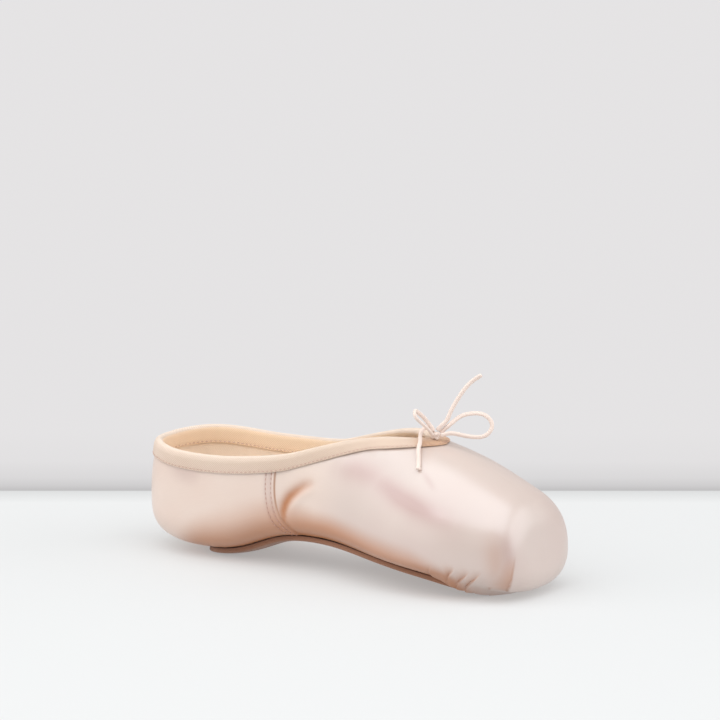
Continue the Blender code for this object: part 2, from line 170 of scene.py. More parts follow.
# Main form, as in the solids
LENGTH = 0.238
HEEL_DEPTH = 0.040
BALL_HALF = 0.040
INSTEP = 0.0725
HEEL_HEIGHT = 0.055
THROAT_HEIGHT = 0.072
ARCH_RISE = 0.0116
HEEL_ROUND = 2.25
EVEN_OUT = 0.012  # height over which the form changes from its lower to its upper half
PLATFORM_LEAN = np.radians(6.5)
PLATFORM_ROUND = 0.012
QUARTER_WALL = 0.0016
BOX_WALL = 0.0030
LAP = 0.0005
GAP = 0.0003
SEAT = 0.0004
TAPE = 0.0008
TAPE_OUTER = 0.0068
TAPE_INNER = 0.0075
TAPE_BEAD = 1.3
OUTSOLE_THICK = 0.0027
OUTSOLE_WORN = 0.0006
INSOLE_THICK = 0.0018
SOLE_BACK = 0.034
SOLE_SET = 0.021
SOLE_LAP = 0.0060
INSOLE_LAP = 0.0075
SOLE_MIDDLE = 0.0115
HEEL_END = 0.020
TOE_END = 0.026
CORD = 0.0020
KNOT_LONG = 0.0052
KNOT_WIDE = 0.0046
KNOT_HIGH = 0.0040
KNOT_AHEAD = 0.0015
KNOT_ASIDE = 0.0030
FAN_HEEL = 0.062
FAN_THROAT = 0.024
PROBE = 2e-5  # step for the form's slope
HALVINGS = 30  # of the search along a line for the form's surface
STACK = OUTSOLE_THICK + SEAT - OUTSOLE_WORN
MM = 0.001

# Cloth and sewing, for the looks alone
TAPE_LEAF = ((0.0, 1.0), (0.60, 1.0), (0.85, 0.90), (0.93, 0.98), (1.0, 1.15))  # x of the throat's, TAPE_OUTER
# Rows of the tape's outer leaf, from its lower edge up: share of the leaf's depth, of TAPE off the satin, and
# how much of the gathers' ripple each has
TAPE_ROWS = (1.0, 0.985, 0.93, 0.86, 0.8, 0.7, 0.6, 0.5, 0.4, 0.3, 0.2, 0.1)
TAPE_LIFT = (0.35, 0.75, 0.85, 0.70, 0.85, 1.0, 1.06, 1.13, 1.2, 1.27, 1.32, 1.36)
TAPE_RIPPLE = (1.0, 1.0, 0.9, 0.6, 1.0, 0.9, 0.7, 0.5, 0.35, 0.2, 0.1, 0.0)
TAPE_INSIDE = (18, 31)  # rows of its profile that face the foot
BEAD_ROW = 14.5
THROAT_GATHER = (160, 168)  # x in mm where the drawstring draws it together
SATIN = 0.00045  # thickness of the outer cloth
SEAM_ROWS = (-1.9, -4.8)  # stitch rows behind the quarter's edge, mm
TAPE_ROW = 0.0009  # stitch row above the tape's lower edge
STITCH = 0.0015
STITCH_PITCH = 0.0024
THREAD = 0.00040
HEM = 0.0024  # how far the toe's pleats hang down beside the sole
HEM_CLEAR = 0.0004
BACK_SEAM = 0.00018  # depth of the seam up the heel's back

# Meshes
FAN_STEPS = 160
FAN_LEVEL = 0.3  # of INSTEP, where the half planes are spread evenly
RAYS = 500  # in each half plane, from below its start to over it
RAY_SWEEP = (-165, 175)
RAY_START = (0.42, 0.004)  # share of the way out to the form, height over its widest point
BASE_COLUMNS = 200
BASE_ROWS = 120
LINING_ROWS = 64
TAPE_WALL_ROWS = 60
SOLE_COLUMNS = 150
PATH_STEPS = 40
PLEAT_STEPS = 60
ROUTE_STEP = 0.0005
QUARTER_STEP = 2.0  # mm between columns
VAMP_STEP = 1.6
TOE_STEP = 0.45
TOE_REACH = 80.0  # mm of the wall, from the toe's front, that has pleats
SEAM_STEP = 0.28

# Sections across the shoe, as in the solids
SECTION_COLUMNS = ("x", "half", "under", "widest", "ridge", "below", "above")
SECTION_UNITS = (LENGTH, BALL_HALF, ARCH_RISE, INSTEP, INSTEP, 1, 1)
SECTIONS = (
    (0.08, 0.84, 0.00, 0.33, 1.65, 2.7, 2.4),
    (0.16, 0.84, 0.00, 0.33, 1.63, 2.7, 2.4),
    (0.22, 0.84, 0.03, 0.33, 1.62, 2.7, 2.4),
    (0.28, 0.83, 0.33, 0.35, 1.59, 2.6, 2.3),
    (0.35, 0.76, 0.86, 0.38, 1.49, 2.4, 2.2),
    (0.44, 0.67, 1.06, 0.40, 1.31, 2.4, 2.1),
    (0.53, 0.71, 0.97, 0.37, 1.15, 2.4, 2.0),
    (0.62, 0.85, 0.76, 0.32, 1.07, 2.3, 2.0),
    (0.71, 0.97, 0.57, 0.27, 1.00, 2.2, 2.0),
    (0.80, 1.00, 0.31, 0.26, 0.91, 2.2, 2.1),
    (0.86, 0.95, 0.07, 0.26, 0.83, 2.2, 2.2),
    (0.92, 0.86, 0.00, 0.26, 0.74, 2.3, 2.3),
    (1.00, 0.73, 0.00, 0.28, 0.61, 2.4, 2.5),
    (1.06, 0.63, 0.00, 0.30, 0.52, 2.4, 2.5),
)
COLLAR = (
    (0.00, 0.00), (0.05, 0.03), (0.10, -0.03), (0.17, -0.09), (0.25, -0.07), (0.31, 0.00), (0.36, 0.08),
    (0.40, 0.18), (0.45, 0.39), (0.50, 0.61), (0.56, 0.84), (0.62, 0.99), (0.70, 1.02), (0.80, 0.98),
)
BACK = ((0.0, 0.03), (0.3, 0.02), (0.62, 0.01), (0.85, 0.05), (1.08, 0.13), (1.5, 0.24), (2.1, 0.37))
SOLE = (
    (0.00, 0.50), (0.16, 0.53), (0.30, 0.46), (0.42, 0.43),
    (0.55, 0.52), (0.70, 0.68), (0.80, 0.70), (0.95, 0.62),
)
SEAM = ((0.00, 0.418), (0.15, 0.416), (0.28, 0.408), (0.42, 0.394), (0.55, 0.385), (1.00, 0.383))
# How much lower the far side's edge is than the near one's: x of LENGTH, share of INSTEP.
FAR_DROP = ((0.0, 0.0), (0.10, -0.012), (0.25, -0.006), (0.42, 0.012), (0.55, 0.014), (0.66, 0.0), (0.8, 0.0))

# The bow's cords, in millimetres from the knot's middle: ahead, left, up.
LOOP_FAR = (
    (1.6, 2.5, 1.0), (3.0, 3.6, 2.8), (5.5, 4.6, 5.1), (9.5, 7.8, 9.2),
    (15.5, 10.8, 11.2), (21.5, 13.8, 10.0), (24.3, 14.8, 5.5), (22.8, 12.0, 0.8),
    (18.5, 9.0, -0.3), (11.5, 6.0, 0.5), (6.6, 3.2, 1.2), (3.2, 0.2, 0.2),
)
LOOP_NEAR = (
    (-0.4, -1.1, 2.5), (-1.2, -1.6, 4.2), (-2.3, -2.9, 6.4), (-3.3, -5.6, 9.6),
    (-3.9, -9.6, 12.7), (-3.5, -13.3, 14.0), (-2.4, -14.9, 12.4), (-1.1, -12.4, 8.9),
    (-0.3, -7.9, 5.4), (0.0, -4.4, 2.4), (0.1, -2.9, 0.9),
)
END_UP = (
    (0.6, 0.9, 2.5), (1.7, 1.8, 4.2), (4.0, 4.1, 7.3), (5.2, 5.2, 10.8),
    (7.2, 7.2, 16.1), (10.2, 9.4, 22.0), (13.4, 11.8, 26.6), (18.6, 13.5, 30.6),
)
END_DOWN = ((-2.4, 0.1, 1.9), (-4.0, -1.8, 3.9), (-4.4, -4.4, 3.2), (-4.5, -6.2, 1.6))
END_LYING = ((-3.8, -11.2, 1.0), (-1.9, -15.0, 1.0), (0.7, -18.8, 0.3), (3.9, -23.6, 0.0))

# Soft troughs (depth above zero) and ridges (below zero) of the satin. Each runs through points on one
# side of the shoe: x of LENGTH, z of INSTEP. Given are the side, width and depth in mm, how much painted
# shade the cloth takes in it, and the points.
CREASE = (
    (0.463, 0.638), (0.449, 0.617), (0.432, 0.578), (0.4155, 0.530), (0.406, 0.477),
    (0.401, 0.418), (0.402, 0.353), (0.410, 0.290), (0.423, 0.245),
)
CREASE_SWELL = ((0.474, 0.600), (0.452, 0.560), (0.434, 0.500), (0.424, 0.440), (0.421, 0.380), (0.426, 0.310))
FAR_CREASE = ((0.466, 0.655), (0.440, 0.600), (0.420, 0.530), (0.408, 0.450), (0.402, 0.350))
FOLDS = (
    ("near", 3.0, 0.90, 1.15, CREASE),
    ("near", 2.2, -0.60, 0.0, CREASE_SWELL),
    ("far", 2.4, 1.00, 0.9, FAR_CREASE),
    ("far", 4.0, -0.45, 0.0, CREASE_SWELL),
    ("near", 5.0, 0.35, 0.30, ((0.945, 0.440), (0.952, 0.340), (0.955, 0.240), (0.945, 0.150))),
    ("far", 5.0, 0.35, 0.30, ((0.943, 0.420), (0.950, 0.320), (0.953, 0.220), (0.940, 0.140))),
    ("near", 4.5, 0.40, 0.30, ((0.362, 0.300), (0.340, 0.300), (0.318, 0.300))),
    ("far", 3.0, 0.30, 0.20, ((0.375, 0.290), (0.330, 0.240), (0.300, 0.210))),
)
# Places of the satin painted pinker and darker: side, width in mm, strength, points. The band and the wide
# rows from x 0.54 are painted shade along the lower edge of the vamp's highlight; the narrow row is the hanging
# cord's painted cast shadow; the row at x 0.96 is painted shade at the platform's corner; those at the heel are pinker
# patches.
PINK_BAND = ((0.632, 0.755), (0.675, 0.715), (0.718, 0.660), (0.760, 0.620), (0.806, 0.580), (0.860, 0.535))
PINK_AND_PAINTED_SHADES = (
    ("near", 6.0, 1.0, ((0.535, 0.770), (0.590, 0.785), (0.632, 0.765), (0.675, 0.720))),
    ("near", 1.6, 0.5, ((0.750, 0.832), (0.757, 0.817), (0.772, 0.785), (0.788, 0.747), (0.794, 0.735))),
    ("near", 5.5, 1.4, PINK_BAND),
    ("near", 5.0, 0.45, ((0.119, 0.640), (0.155, 0.610), (0.200, 0.610))),
    ("near", 4.0, 0.6, ((0.963, 0.480), (0.974, 0.350), (0.976, 0.230))),
    ("far", 6.0, 0.8, ((0.560, 0.780), (0.640, 0.750), (0.720, 0.660), (0.800, 0.585))),
    ("far", 7.0, 0.6, ((0.100, 0.600), (0.170, 0.560), (0.230, 0.590))),
)
# Pleats at the toe, from the sole up. Each one's toe side lies over its heel side, which is painted with shade for a
# width in mm. Given are the side, depth in mm, painted shade, that width, and points as for the folds.
CORNER_PLEAT = (
    (0.950, 0.065), (0.958, 0.086), (0.969, 0.123), (0.9766, 0.175),
    (0.9793, 0.218), (0.9815, 0.288), (0.9825, 0.340),
)
PLEATS = (
    ("near", 1.0, 0.85, 5.0, ((0.798, 0.125), (0.8005, 0.155), (0.803, 0.185), (0.8174, 0.245))),
    ("near", 1.0, 0.90, 4.0, ((0.832, 0.125), (0.848, 0.170), (0.8625, 0.216), (0.869, 0.250))),
    ("near", 1.0, 0.65, 3.5, ((0.846, 0.105), (0.8675, 0.140), (0.8845, 0.176), (0.896, 0.210), (0.9025, 0.232))),
    ("near", 1.0, 0.55, 3.0, ((0.860, 0.088), (0.881, 0.114), (0.901, 0.154), (0.9146, 0.190), (0.9285, 0.230))),
    ("near", 0.5, 0.30, 2.0, ((0.915, 0.075), (0.923, 0.095), (0.936, 0.120))),
    ("near", 0.7, 0.60, 8.0, CORNER_PLEAT),
    ("near", 0.3, 0.30, 1.5, ((0.225, 0.080), (0.242, 0.137), (0.256, 0.180))),
    ("near", 0.3, 0.25, 1.5, ((0.200, 0.080), (0.214, 0.130), (0.226, 0.170))),
    ("far", 0.9, 0.70, 5.0, ((0.780, 0.130), (0.784, 0.170), (0.790, 0.205), (0.803, 0.260))),
    ("far", 0.9, 0.70, 4.0, ((0.815, 0.125), (0.830, 0.170), (0.845, 0.216), (0.853, 0.250))),
    ("far", 0.9, 0.50, 3.5, ((0.838, 0.105), (0.858, 0.145), (0.872, 0.185), (0.884, 0.240))),
    ("far", 0.8, 0.40, 3.0, ((0.868, 0.088), (0.890, 0.120), (0.908, 0.160), (0.922, 0.215))),
    ("far", 0.5, 0.30, 2.0, ((0.908, 0.075), (0.918, 0.100), (0.930, 0.130))),
)
# Small gathers along the sole's edge: distance back along its outline from the tip, of LENGTH
GATHERS = (0.330, 0.292, 0.250, 0.227, 0.100, 0.072, 0.050, 0.033, 0.016)

# Where the satin is painted brown as shade beside the sole: x of LENGTH, mm from the sole's outline
SOLE_SHADE_FULL = ((0.03, 3.0), (0.18, 9.0), (0.40, 10.0), (0.60, 10.5), (0.78, 11.5), (0.88, 8.0), (1.00, 2.0))
SOLE_SHADE_NONE = (
    (0.03, 16.0), (0.12, 22.0), (0.25, 30.0), (0.38, 28.0),
    (0.48, 20.0), (0.76, 20.0), (0.88, 15.0), (1.0, 11.0),
)
SOLE_SHADE_FADE = (0.845, 0.890)  # x of LENGTH where it gives way to the pale hem

# Camera: the photograph's angle to the shoe
TARGET = Vector((0.119, 0.0, 0.03))
TARGET_PIXEL = (352.06, 508.54)
FRAME_PIXELS = 720
AZIMUTH = np.radians(34.7)
ELEVATION = np.radians(10.64)
DISTANCE = 2.40
PIXELS_PER_METRE = 1957.44
SENSOR = 36.0
# The floor and the backdrop behind it: distance behind the shoe's middle, grey. The floor glows, painted light
# that lifts its shadows; past its edge the backdrop only glows, painted darker at its foot as shade.
BACKDROP_EDGE = 0.1805
BACKDROP_FAR = 0.5
FLOOR_SIZE = 6.0
FLOOR_TINT = (0.995, 1, 1)
BACKDROP_TINT = (1, 0.983, 0.991)
FLOOR_COLOURS = ((0.0, 0.46), (0.15, 0.43), (0.180, 0.38), (BACKDROP_EDGE, 0.0))
FLOOR_GLOW = (
    (0.0, 0.315), (0.06, 0.335), (0.15, 0.370), (0.180, 0.290), (BACKDROP_EDGE, 0.50),
    (0.195, 0.60), (0.215, 0.675), (0.26, 0.735), (0.34, 0.755),
)

# Lights: name, place, the point it faces, its sides, watts, colour
WORLD_LIGHT = 0.52
LAMPS = (
    ("overhead", (0.12, -0.31, 1.0), (0.0, 0.0, 0.03), (1.6, 1.30), 10.5, (0.95, 0.985, 1.0)),
    ("wing", (-1.15, -0.85, 1.0), (0.0, 0.0, 0.04), (0.85, 0.9), 2.2, (1, 1, 1)),
    ("toe_side", (1.55, 0.65, 0.78), (0.1, 0.0, 0.03), (1.9, 1.5), 12.0, (1, 1, 1)),
    ("heel_side", (-0.90, -1.10, 0.5), (-0.08, 0.0, 0.03), (1.4, 1.0), 3.4, (1, 0.96, 0.90)),
)


def spline(x, table):
    """Natural cubic spline through a table's two columns, straight beyond its ends."""
    xs, ys = np.array(table, float).T
    n, h = len(xs), np.diff(xs)
    system, right = np.eye(n), np.zeros(n)
    for i in range(1, n - 1):
        system[i, i - 1 : i + 2] = h[i - 1], 2 * (h[i - 1] + h[i]), h[i]
        right[i] = 6 * ((ys[i + 1] - ys[i]) / h[i] - (ys[i] - ys[i - 1]) / h[i - 1])
    m = np.linalg.solve(system, right)
    i = np.clip(np.searchsorted(xs, x) - 1, 0, n - 2)
    t, step = x - xs[i], h[i]
    slope = (ys[i + 1] - ys[i]) / step - step * (2 * m[i] + m[i + 1]) / 6
    curve = ys[i] + slope * t + m[i] / 2 * t**2 + (m[i + 1] - m[i]) / (6 * step) * t**3
    first = (ys[1] - ys[0]) / h[0] - h[0] * (2 * m[0] + m[1]) / 6
    last_slope = (ys[-1] - ys[-2]) / h[-1] + h[-1] * (m[-2] + 2 * m[-1]) / 6
    curve = np.where(x < xs[0], ys[0] + first * (x - xs[0]), curve)
    return np.where(x > xs[-1], ys[-1] + last_slope * (x - xs[-1]), curve)


def smoothstep(x, low, high):
    t = np.clip((x - low) / (high - low), 0, 1)
    return t * t * (3 - 2 * t)


def section(name, x):
    """One measure of the sections across the shoe, at x."""
    k = SECTION_COLUMNS.index(name)
    return spline(x / LENGTH, [(row[0], row[k]) for row in SECTIONS]) * SECTION_UNITS[k]


def collar_height(x, side):
    """Height of the collar's edge, a little lower on the far side."""
    height = HEEL_HEIGHT + (THROAT_HEIGHT - HEEL_HEIGHT) * spline(x / LENGTH, COLLAR)
    if side == "near":
        return height
    return height - spline(x / LENGTH, FAR_DROP) * INSTEP


def norm(a, b, n):
    return (np.abs(a) ** n + np.abs(b) ** n) ** (1 / n)


def smooth_max(a, b, soft):
    """The larger of two values, rounded where they cross."""
    h = np.clip(0.5 + 0.5 * (a - b) / soft, 0, 1)
    return b + (a - b) * h + soft * h * (1 - h)


def last(x, y, z):
    """Below zero inside the last and above zero outside it, about in metres near its surface."""
    ahead = np.maximum(x, HEEL_DEPTH)
    half, under, widest, ridge, below, above = (section(c, ahead) for c in SECTION_COLUMNS[1:])
    under = STACK + np.maximum(under, 0)
    low = z < widest
    height = np.where(low, widest - under, ridge - widest)
    square = np.where(low, below, above)
    # Without this the platform's rounded edge has a step at the widest height.
    even = smoothstep(z, widest - EVEN_OUT, widest + EVEN_OUT)
    scale = np.minimum(half, (widest - under) * (1 - even) + (ridge - widest) * even)
    body = (norm(y / half, (z - widest) / height, square) - 1) * scale
    platform = (x - LENGTH) * np.cos(PLATFORM_LEAN) + z * np.sin(PLATFORM_LEAN)
    fore = smooth_max(body, platform, PLATFORM_ROUND)
    share = np.clip(1 - np.clip(np.abs(z - widest) / height, 0, 1) ** square, 1e-9, 1) ** (1 / square)
    back = spline(z / HEEL_HEIGHT, BACK) * HEEL_DEPTH
    depth = np.maximum((HEEL_DEPTH - back) * np.where(low, share, 1), 1e-5)
    side = np.maximum(half * share, 1e-5)
    heel = (norm((HEEL_DEPTH - x) / depth, y / side, HEEL_ROUND) - 1) * np.minimum(side, depth)
    heel = np.maximum(heel, under - z)
    return np.where(x < HEEL_DEPTH, heel, fore)


def normal(points):
    """The way out of the form at points on it."""
    x, y, z = np.moveaxis(points, -1, 0)
    slope = [
        last(x + PROBE, y, z) - last(x - PROBE, y, z),
        last(x, y + PROBE, z) - last(x, y - PROBE, z),
        last(x, y, z + PROBE) - last(x, y, z - PROBE),
    ]
    slope = np.stack(slope, -1)
    return slope / np.linalg.norm(slope, axis=-1, keepdims=True)


def reach(start, way):
    """Points where the lines from start along way leave the last."""
    near, far = np.zeros(start.shape[:-1]), np.full(start.shape[:-1], LENGTH)
    for _ in range(HALVINGS):
        middle = (near + far) / 2
        outside = last(*np.moveaxis(start + way * middle[..., None], -1, 0)) > 0
        far = np.where(outside, middle, far)
        near = np.where(outside, near, middle)
    return start + way * near[..., None]


def walk(points):
    """Distance along a line of points, from 0 to 1, and its length."""
    along = np.concatenate([[0], np.cumsum(np.linalg.norm(np.diff(points, axis=0), axis=1))])
    return along / along[-1], along[-1]


def sample(points, at):
    """Points at shares of the length of a line of points."""
    along, _ = walk(points)
    return np.stack([np.interp(at, along, column) for column in points.T], -1)


def sole_half(x, inset):
    """Half width of the sole's outline, moved in by inset. Below zero past its ends."""
    width = spline(x / LENGTH, SOLE) * BALL_HALF - inset
    back = (x - SOLE_BACK - inset) / HEEL_END
    front = (LENGTH - SOLE_SET - inset - x) / TOE_END
    end = np.clip(np.minimum(back, front), -1, 1)
    return np.where(end < 0, end, np.sqrt(np.maximum(1 - (1 - end) ** 2, 0))) * width


def throat():
    """x where the collar's edge crosses the vamp's ridge."""
    x = np.linspace(LENGTH / 2, LENGTH, 2000)
    return x[np.argmax(collar_height(x, "near") > section("ridge", x))]


def half_planes(count):
    """Axis and direction of each half plane, spread evenly round the shoe from heel to toe."""
    fan = np.linspace(0, np.pi / 2, FAN_STEPS)
    front = throat() - FAN_THROAT
    axis = np.concatenate([fan * 0 + FAN_HEEL, np.linspace(FAN_HEEL, front, FAN_STEPS), fan * 0 + front])
    turn = np.concatenate([fan, fan * 0 + np.pi / 2, np.pi / 2 + fan])
    start = np.stack([axis, axis * 0, axis * 0 + INSTEP * FAN_LEVEL], -1)
    way = np.stack([-np.cos(turn), -np.sin(turn), turn * 0], -1)
    outline = reach(start, way)
    along, _ = walk(outline)
    at = np.linspace(0, 1, count)
    return np.interp(at, along, axis), np.interp(at, along, turn)


def profiles(columns):
    """Lines round the last, from under it to over it, in half planes from the heel's back to the toe."""
    axis, turn = half_planes(columns)
    away = np.stack([-np.cos(turn), -np.sin(turn), turn * 0], -1)
    base = np.stack([axis, axis * 0, axis * 0 + INSTEP * FAN_LEVEL], -1)
    rim = reach(base, away)
    start = base + (rim - base) * RAY_START[0]
    start[:, 2] = section("widest", np.maximum(start[:, 0], HEEL_DEPTH)) + RAY_START[1]
    angle = np.radians(np.linspace(*RAY_SWEEP, RAYS))
    way = away[:, None] * np.cos(angle)[:, None] + np.array([0, 0, 1]) * np.sin(angle)[:, None]
    return reach(np.repeat(start[:, None], len(angle), 1), way), np.argmax(angle > 0)


def wall_grid(side, rows):
    """The last's surface from the sole's opening (row 0) to the collar, heel's back to toe, on one side."""
    lines, level = outlines
    grid = []
    for line in lines:
        up = line[:, 2] - collar_height(line[:, 0], side)
        k = level + np.argmax(up[level:] > 0)
        top = line[k - 1] + (line[k] - line[k - 1]) * up[k - 1] / (up[k - 1] - up[k])
        inside = sole_half(line[:, 0], SOLE_LAP) - np.abs(line[:, 1])
        j = np.nonzero(inside[:level] > 0)[0][-1]
        foot = line[j] + (line[j + 1] - line[j]) * inside[j] / (inside[j] - inside[j + 1])
        grid.append(sample(np.concatenate([foot[None], line[j + 1 : k], top[None]]), row_shares(rows)))
    return np.array(grid)


def row_shares(rows):
    """Shares of a profile's length, closer together near the sole and near the collar."""
    t = np.linspace(0, 1, rows)
    return t - 0.55 * np.sin(2 * np.pi * t) / (2 * np.pi)


def column_places():
    """Distances from the side seam in mm at mid height, closer together near it. Negative is the quarter."""
    grid = wall_grid("near", 3)
    home = seam_home(grid)
    _, rear = walk(grid[: home + 1, 1])
    _, fore = walk(grid[home:, 1])
    close = np.arange(-6.0, 1.5, SEAM_STEP)
    rear_steps = np.linspace(-rear / MM, close[0], int(rear / MM / QUARTER_STEP))[:-1]
    calm = fore / MM - TOE_REACH
    vamp_steps = np.linspace(close[-1], calm, int(calm / VAMP_STEP))[1:]
    toe_steps = np.linspace(calm, fore / MM, int(TOE_REACH / TOE_STEP))[1:]
    return np.concatenate([rear_steps, close, vamp_steps, toe_steps]), rear / MM, fore / MM


def seam_home(grid):
    """The column where the side seam meets the collar."""
    count = len(grid)
    side = slice(0, count * 3 // 4)
    columns = np.arange(count, dtype=float)[side]
    return int(round(np.interp(SEAM[-1][1] * LENGTH, grid[side, -1, 0], columns)))


def seamed(grid, places, rear, fore):
    """The grid with its columns laid at given distances from the side seam."""
    count, rows = grid.shape[:2]
    columns = np.arange(count, dtype=float)
    side = slice(0, count * 3 // 4)
    height, _ = walk(grid[seam_home(grid)])
    seam_x = spline(height, SEAM) * LENGTH
    out = np.empty((len(places), rows, 3))
    for r in range(rows):
        at_seam = np.interp(seam_x[r], grid[side, r, 0], columns[side])
        ahead = at_seam + (count - 1 - at_seam) * places / fore
        spread = np.where(places < 0, at_seam * (1 + places / rear), ahead)
        i = int(at_seam)
        spacing = np.linalg.norm(grid[i + 1, r] - grid[i, r]) / MM
        true = at_seam + places / spacing
        far = smoothstep(np.abs(places), 6, 40)
        at = np.clip(true * (1 - far) + spread * far, 0, count - 1)
        i = np.minimum(at.astype(int), count - 2)
        out[:, r] = grid[i, r] + (grid[i + 1, r] - grid[i, r]) * (at - i)[:, None]
    return out


def wall(x):
    """Thickness of the upper, thin at the quarters and thick in the toe box."""
    return QUARTER_WALL + (BOX_WALL - QUARTER_WALL) * smoothstep(x / LENGTH, 0.55, 0.82)


def on_side(side, points):
    """Points given on the right side, moved to the side asked for."""
    return points * np.array([1, 1 if side == "near" else -1, 1])


def surface_points(path):
    """Points on the right side of the last at shares of LENGTH and INSTEP."""
    path = np.array(path)
    start = np.stack([path[:, 0] * LENGTH, path[:, 0] * 0, path[:, 1] * INSTEP], -1)
    return reach(start, np.array([0.0, -1.0, 0.0]))


def along_path(points, path):
    """Distance from each point to a line of points, and how far along the line that is, 0 to 1."""
    fine = sample(path, np.linspace(0, 1, PATH_STEPS))
    flat = points.reshape(-1, 3)
    gaps = np.linalg.norm(flat[:, None] - fine[None], axis=2)
    nearest = np.argmin(gaps, axis=1)
    return gaps.min(1).reshape(points.shape[:-1]), (nearest / (PATH_STEPS - 1)).reshape(points.shape[:-1])


def folds(points, side):
    """Height of the troughs and ridges, and how much painted shade each point takes in a trough."""
    height, shade = np.zeros(points.shape[:-1]), np.zeros(points.shape[:-1])
    for fold_side, width, depth, brown, path in FOLDS:
        if fold_side == side:
            soft = spread(points, width, path)
            height -= depth * MM * soft
            shade = np.maximum(shade, soft * brown)
    return height, shade


def spread(points, width, path):
    """1 along a path on the surface, falling to 0 beside it and at its ends."""
    gap, share = along_path(points, surface_points(path))
    return np.exp(-((gap / MM / width) ** 2)) * np.sin(np.pi * np.clip(share * 0.9 + 0.07, 0, 1)) ** 0.7


def pink_and_painted_shades(points, side):
    """How far the satin is painted pinker and darker at each point: painted shade, the cord's painted shadow, and pink
    patches at the heel.
    """
    pink = np.zeros(points.shape[:-1])
    for pink_side, width, strength, path in PINK_AND_PAINTED_SHADES:
        if pink_side == side:
            pink = np.maximum(pink, strength * spread(points, width, path))
    return pink


def sole_outline(side):
    """The outline of the sole on the upper's surface, from its front tip back."""
    x = LENGTH - SOLE_SET - (1 - np.cos(np.linspace(0, np.pi, 300))) / 2 * (LENGTH - SOLE_SET - SOLE_BACK)
    y = -np.maximum(sole_half(x, 0), 0)
    start = np.stack([x, y, section("widest", np.maximum(x, HEEL_DEPTH))], -1)
    return reach(start, np.array([0.0, 0.0, -1.0]))


def from_outline(points, outline):
    """Distance from the sole's outline, below zero where the sole covers, and distance back from its tip."""
    along, length = walk(outline)
    flat = points.reshape(-1, 3)
    gaps = np.linalg.norm(flat[:, None] - outline[None, ::2], axis=2)
    nearest = np.argmin(gaps, axis=1) * 2
    over = flat[:, 2] > section("widest", np.maximum(flat[:, 0], HEEL_DEPTH))
    bare = over | (np.abs(flat[:, 1]) > sole_half(flat[:, 0], 0))
    gap = np.where(bare, gaps.min(1), -gaps.min(1))
    return gap.reshape(points.shape[:-1]), (along[nearest] * length).reshape(points.shape[:-1])


def beside(points, path):
    """Distance from a line on the surface, above zero towards the toe, and how much of the line is there."""
    fine = sample(surface_points(path), np.linspace(0, 1, PLEAT_STEPS))
    flat = points.reshape(-1, 3)
    nearest = np.argmin(np.linalg.norm(flat[:, None] - fine[None], axis=2), axis=1)
    way = np.gradient(fine, axis=0)[nearest]
    way /= np.linalg.norm(way, axis=1, keepdims=True)
    off = flat - fine[nearest]
    past = np.sum(off * way, axis=1)
    across = np.linalg.norm(off - way * past[:, None], axis=1)
    toward = np.sign(way[:, 2] * off[:, 0] - way[:, 0] * off[:, 2])
    share = np.sin(np.pi * np.clip(nearest / (PLEAT_STEPS - 1) * 0.80 + 0.20, 0, 1))
    there = share * np.exp(-((past / MM / 1.2) ** 2))
    return (toward * across).reshape(points.shape[:-1]) / MM, there.reshape(points.shape[:-1])


def pleats(points, side):
    """Height of the toe's pleats and how much painted shade each point takes in them."""
    height, shade = np.zeros(points.shape[:-1]), np.zeros(points.shape[:-1])
    for pleat_side, depth, brown, width, path in PLEATS:
        if pleat_side != side:
            continue
        toward, there = beside(points, path)
        over = smoothstep(toward, -0.35, 0.35)
        behind, ahead = np.minimum(toward, 0), np.maximum(toward, 0)
        lift = 0.6 * over * np.exp(-((ahead / 2.6) ** 2)) - 0.5 * (1 - over) * np.exp(-((behind / 1.2) ** 2))
        height += depth * MM * there * lift
        # painted shade: a dark line in each pleat's crease and a broad shade on its heel side
        line = np.exp(-(((toward + 0.20) / 0.50) ** 2)) * min(1.0, depth * 1.2)
        panel = brown * np.exp(-((behind / width) ** 2)) * (1 - over)
        shade = np.maximum(shade, there * np.maximum(line, panel))
    return height, shade


def gathers(gap, back):
    """Small lumps of cloth drawn in along the sole's edge."""
    height = np.zeros(gap.shape)
    for k, place in enumerate(GATHERS):
        across = (back - place * LENGTH) / MM
        reach_up = 2.5 + 1.5 * (k % 3)
        low = np.exp(-((np.maximum(gap, 0) / MM / reach_up) ** 2))
        height -= 0.30 * MM * np.exp(-((across / 0.7) ** 2)) * low
    return height


def unevenness(points, side):
    """Slight waves, as cloth pasted over a last has."""
    x, y, z = np.moveaxis(points / MM, -1, 0)
    turn = 0.0 if side == "near" else 1.3
    slow = np.sin(x / 17 + z / 29 + turn) * np.sin(z / 13 - x / 41 + 2 * turn)
    slow = slow + 0.6 * np.sin(x / 9.1 - z / 11 + y / 23)
    fine = np.sin(x / 4.3 + z / 6.1 + np.sin(z / 5.0)) * np.sin(z / 3.7 - y / 9.0)
    return (0.10 * slow + 0.015 * fine) * MM


def under_tape(points):
    """Puckers that the tape's stitching pulls into the cloth below it."""
    x = points[..., 0] / MM
    ripple = np.sin(x / 1.9 + 1.7 * np.sin(x / 11.0)) * np.sin(x / 6.3 + 0.8)
    below = (rim_distance(points) - TAPE_OUTER) / MM
    near = np.exp(-((np.maximum(below, 0) / 4.5) ** 2)) * (1 - smoothstep(x, 150, 175))
    pinch = np.exp(-(((below + 0.4) / 1.1) ** 2))
    return (0.13 * ripple * near - 0.16 * pinch) * MM


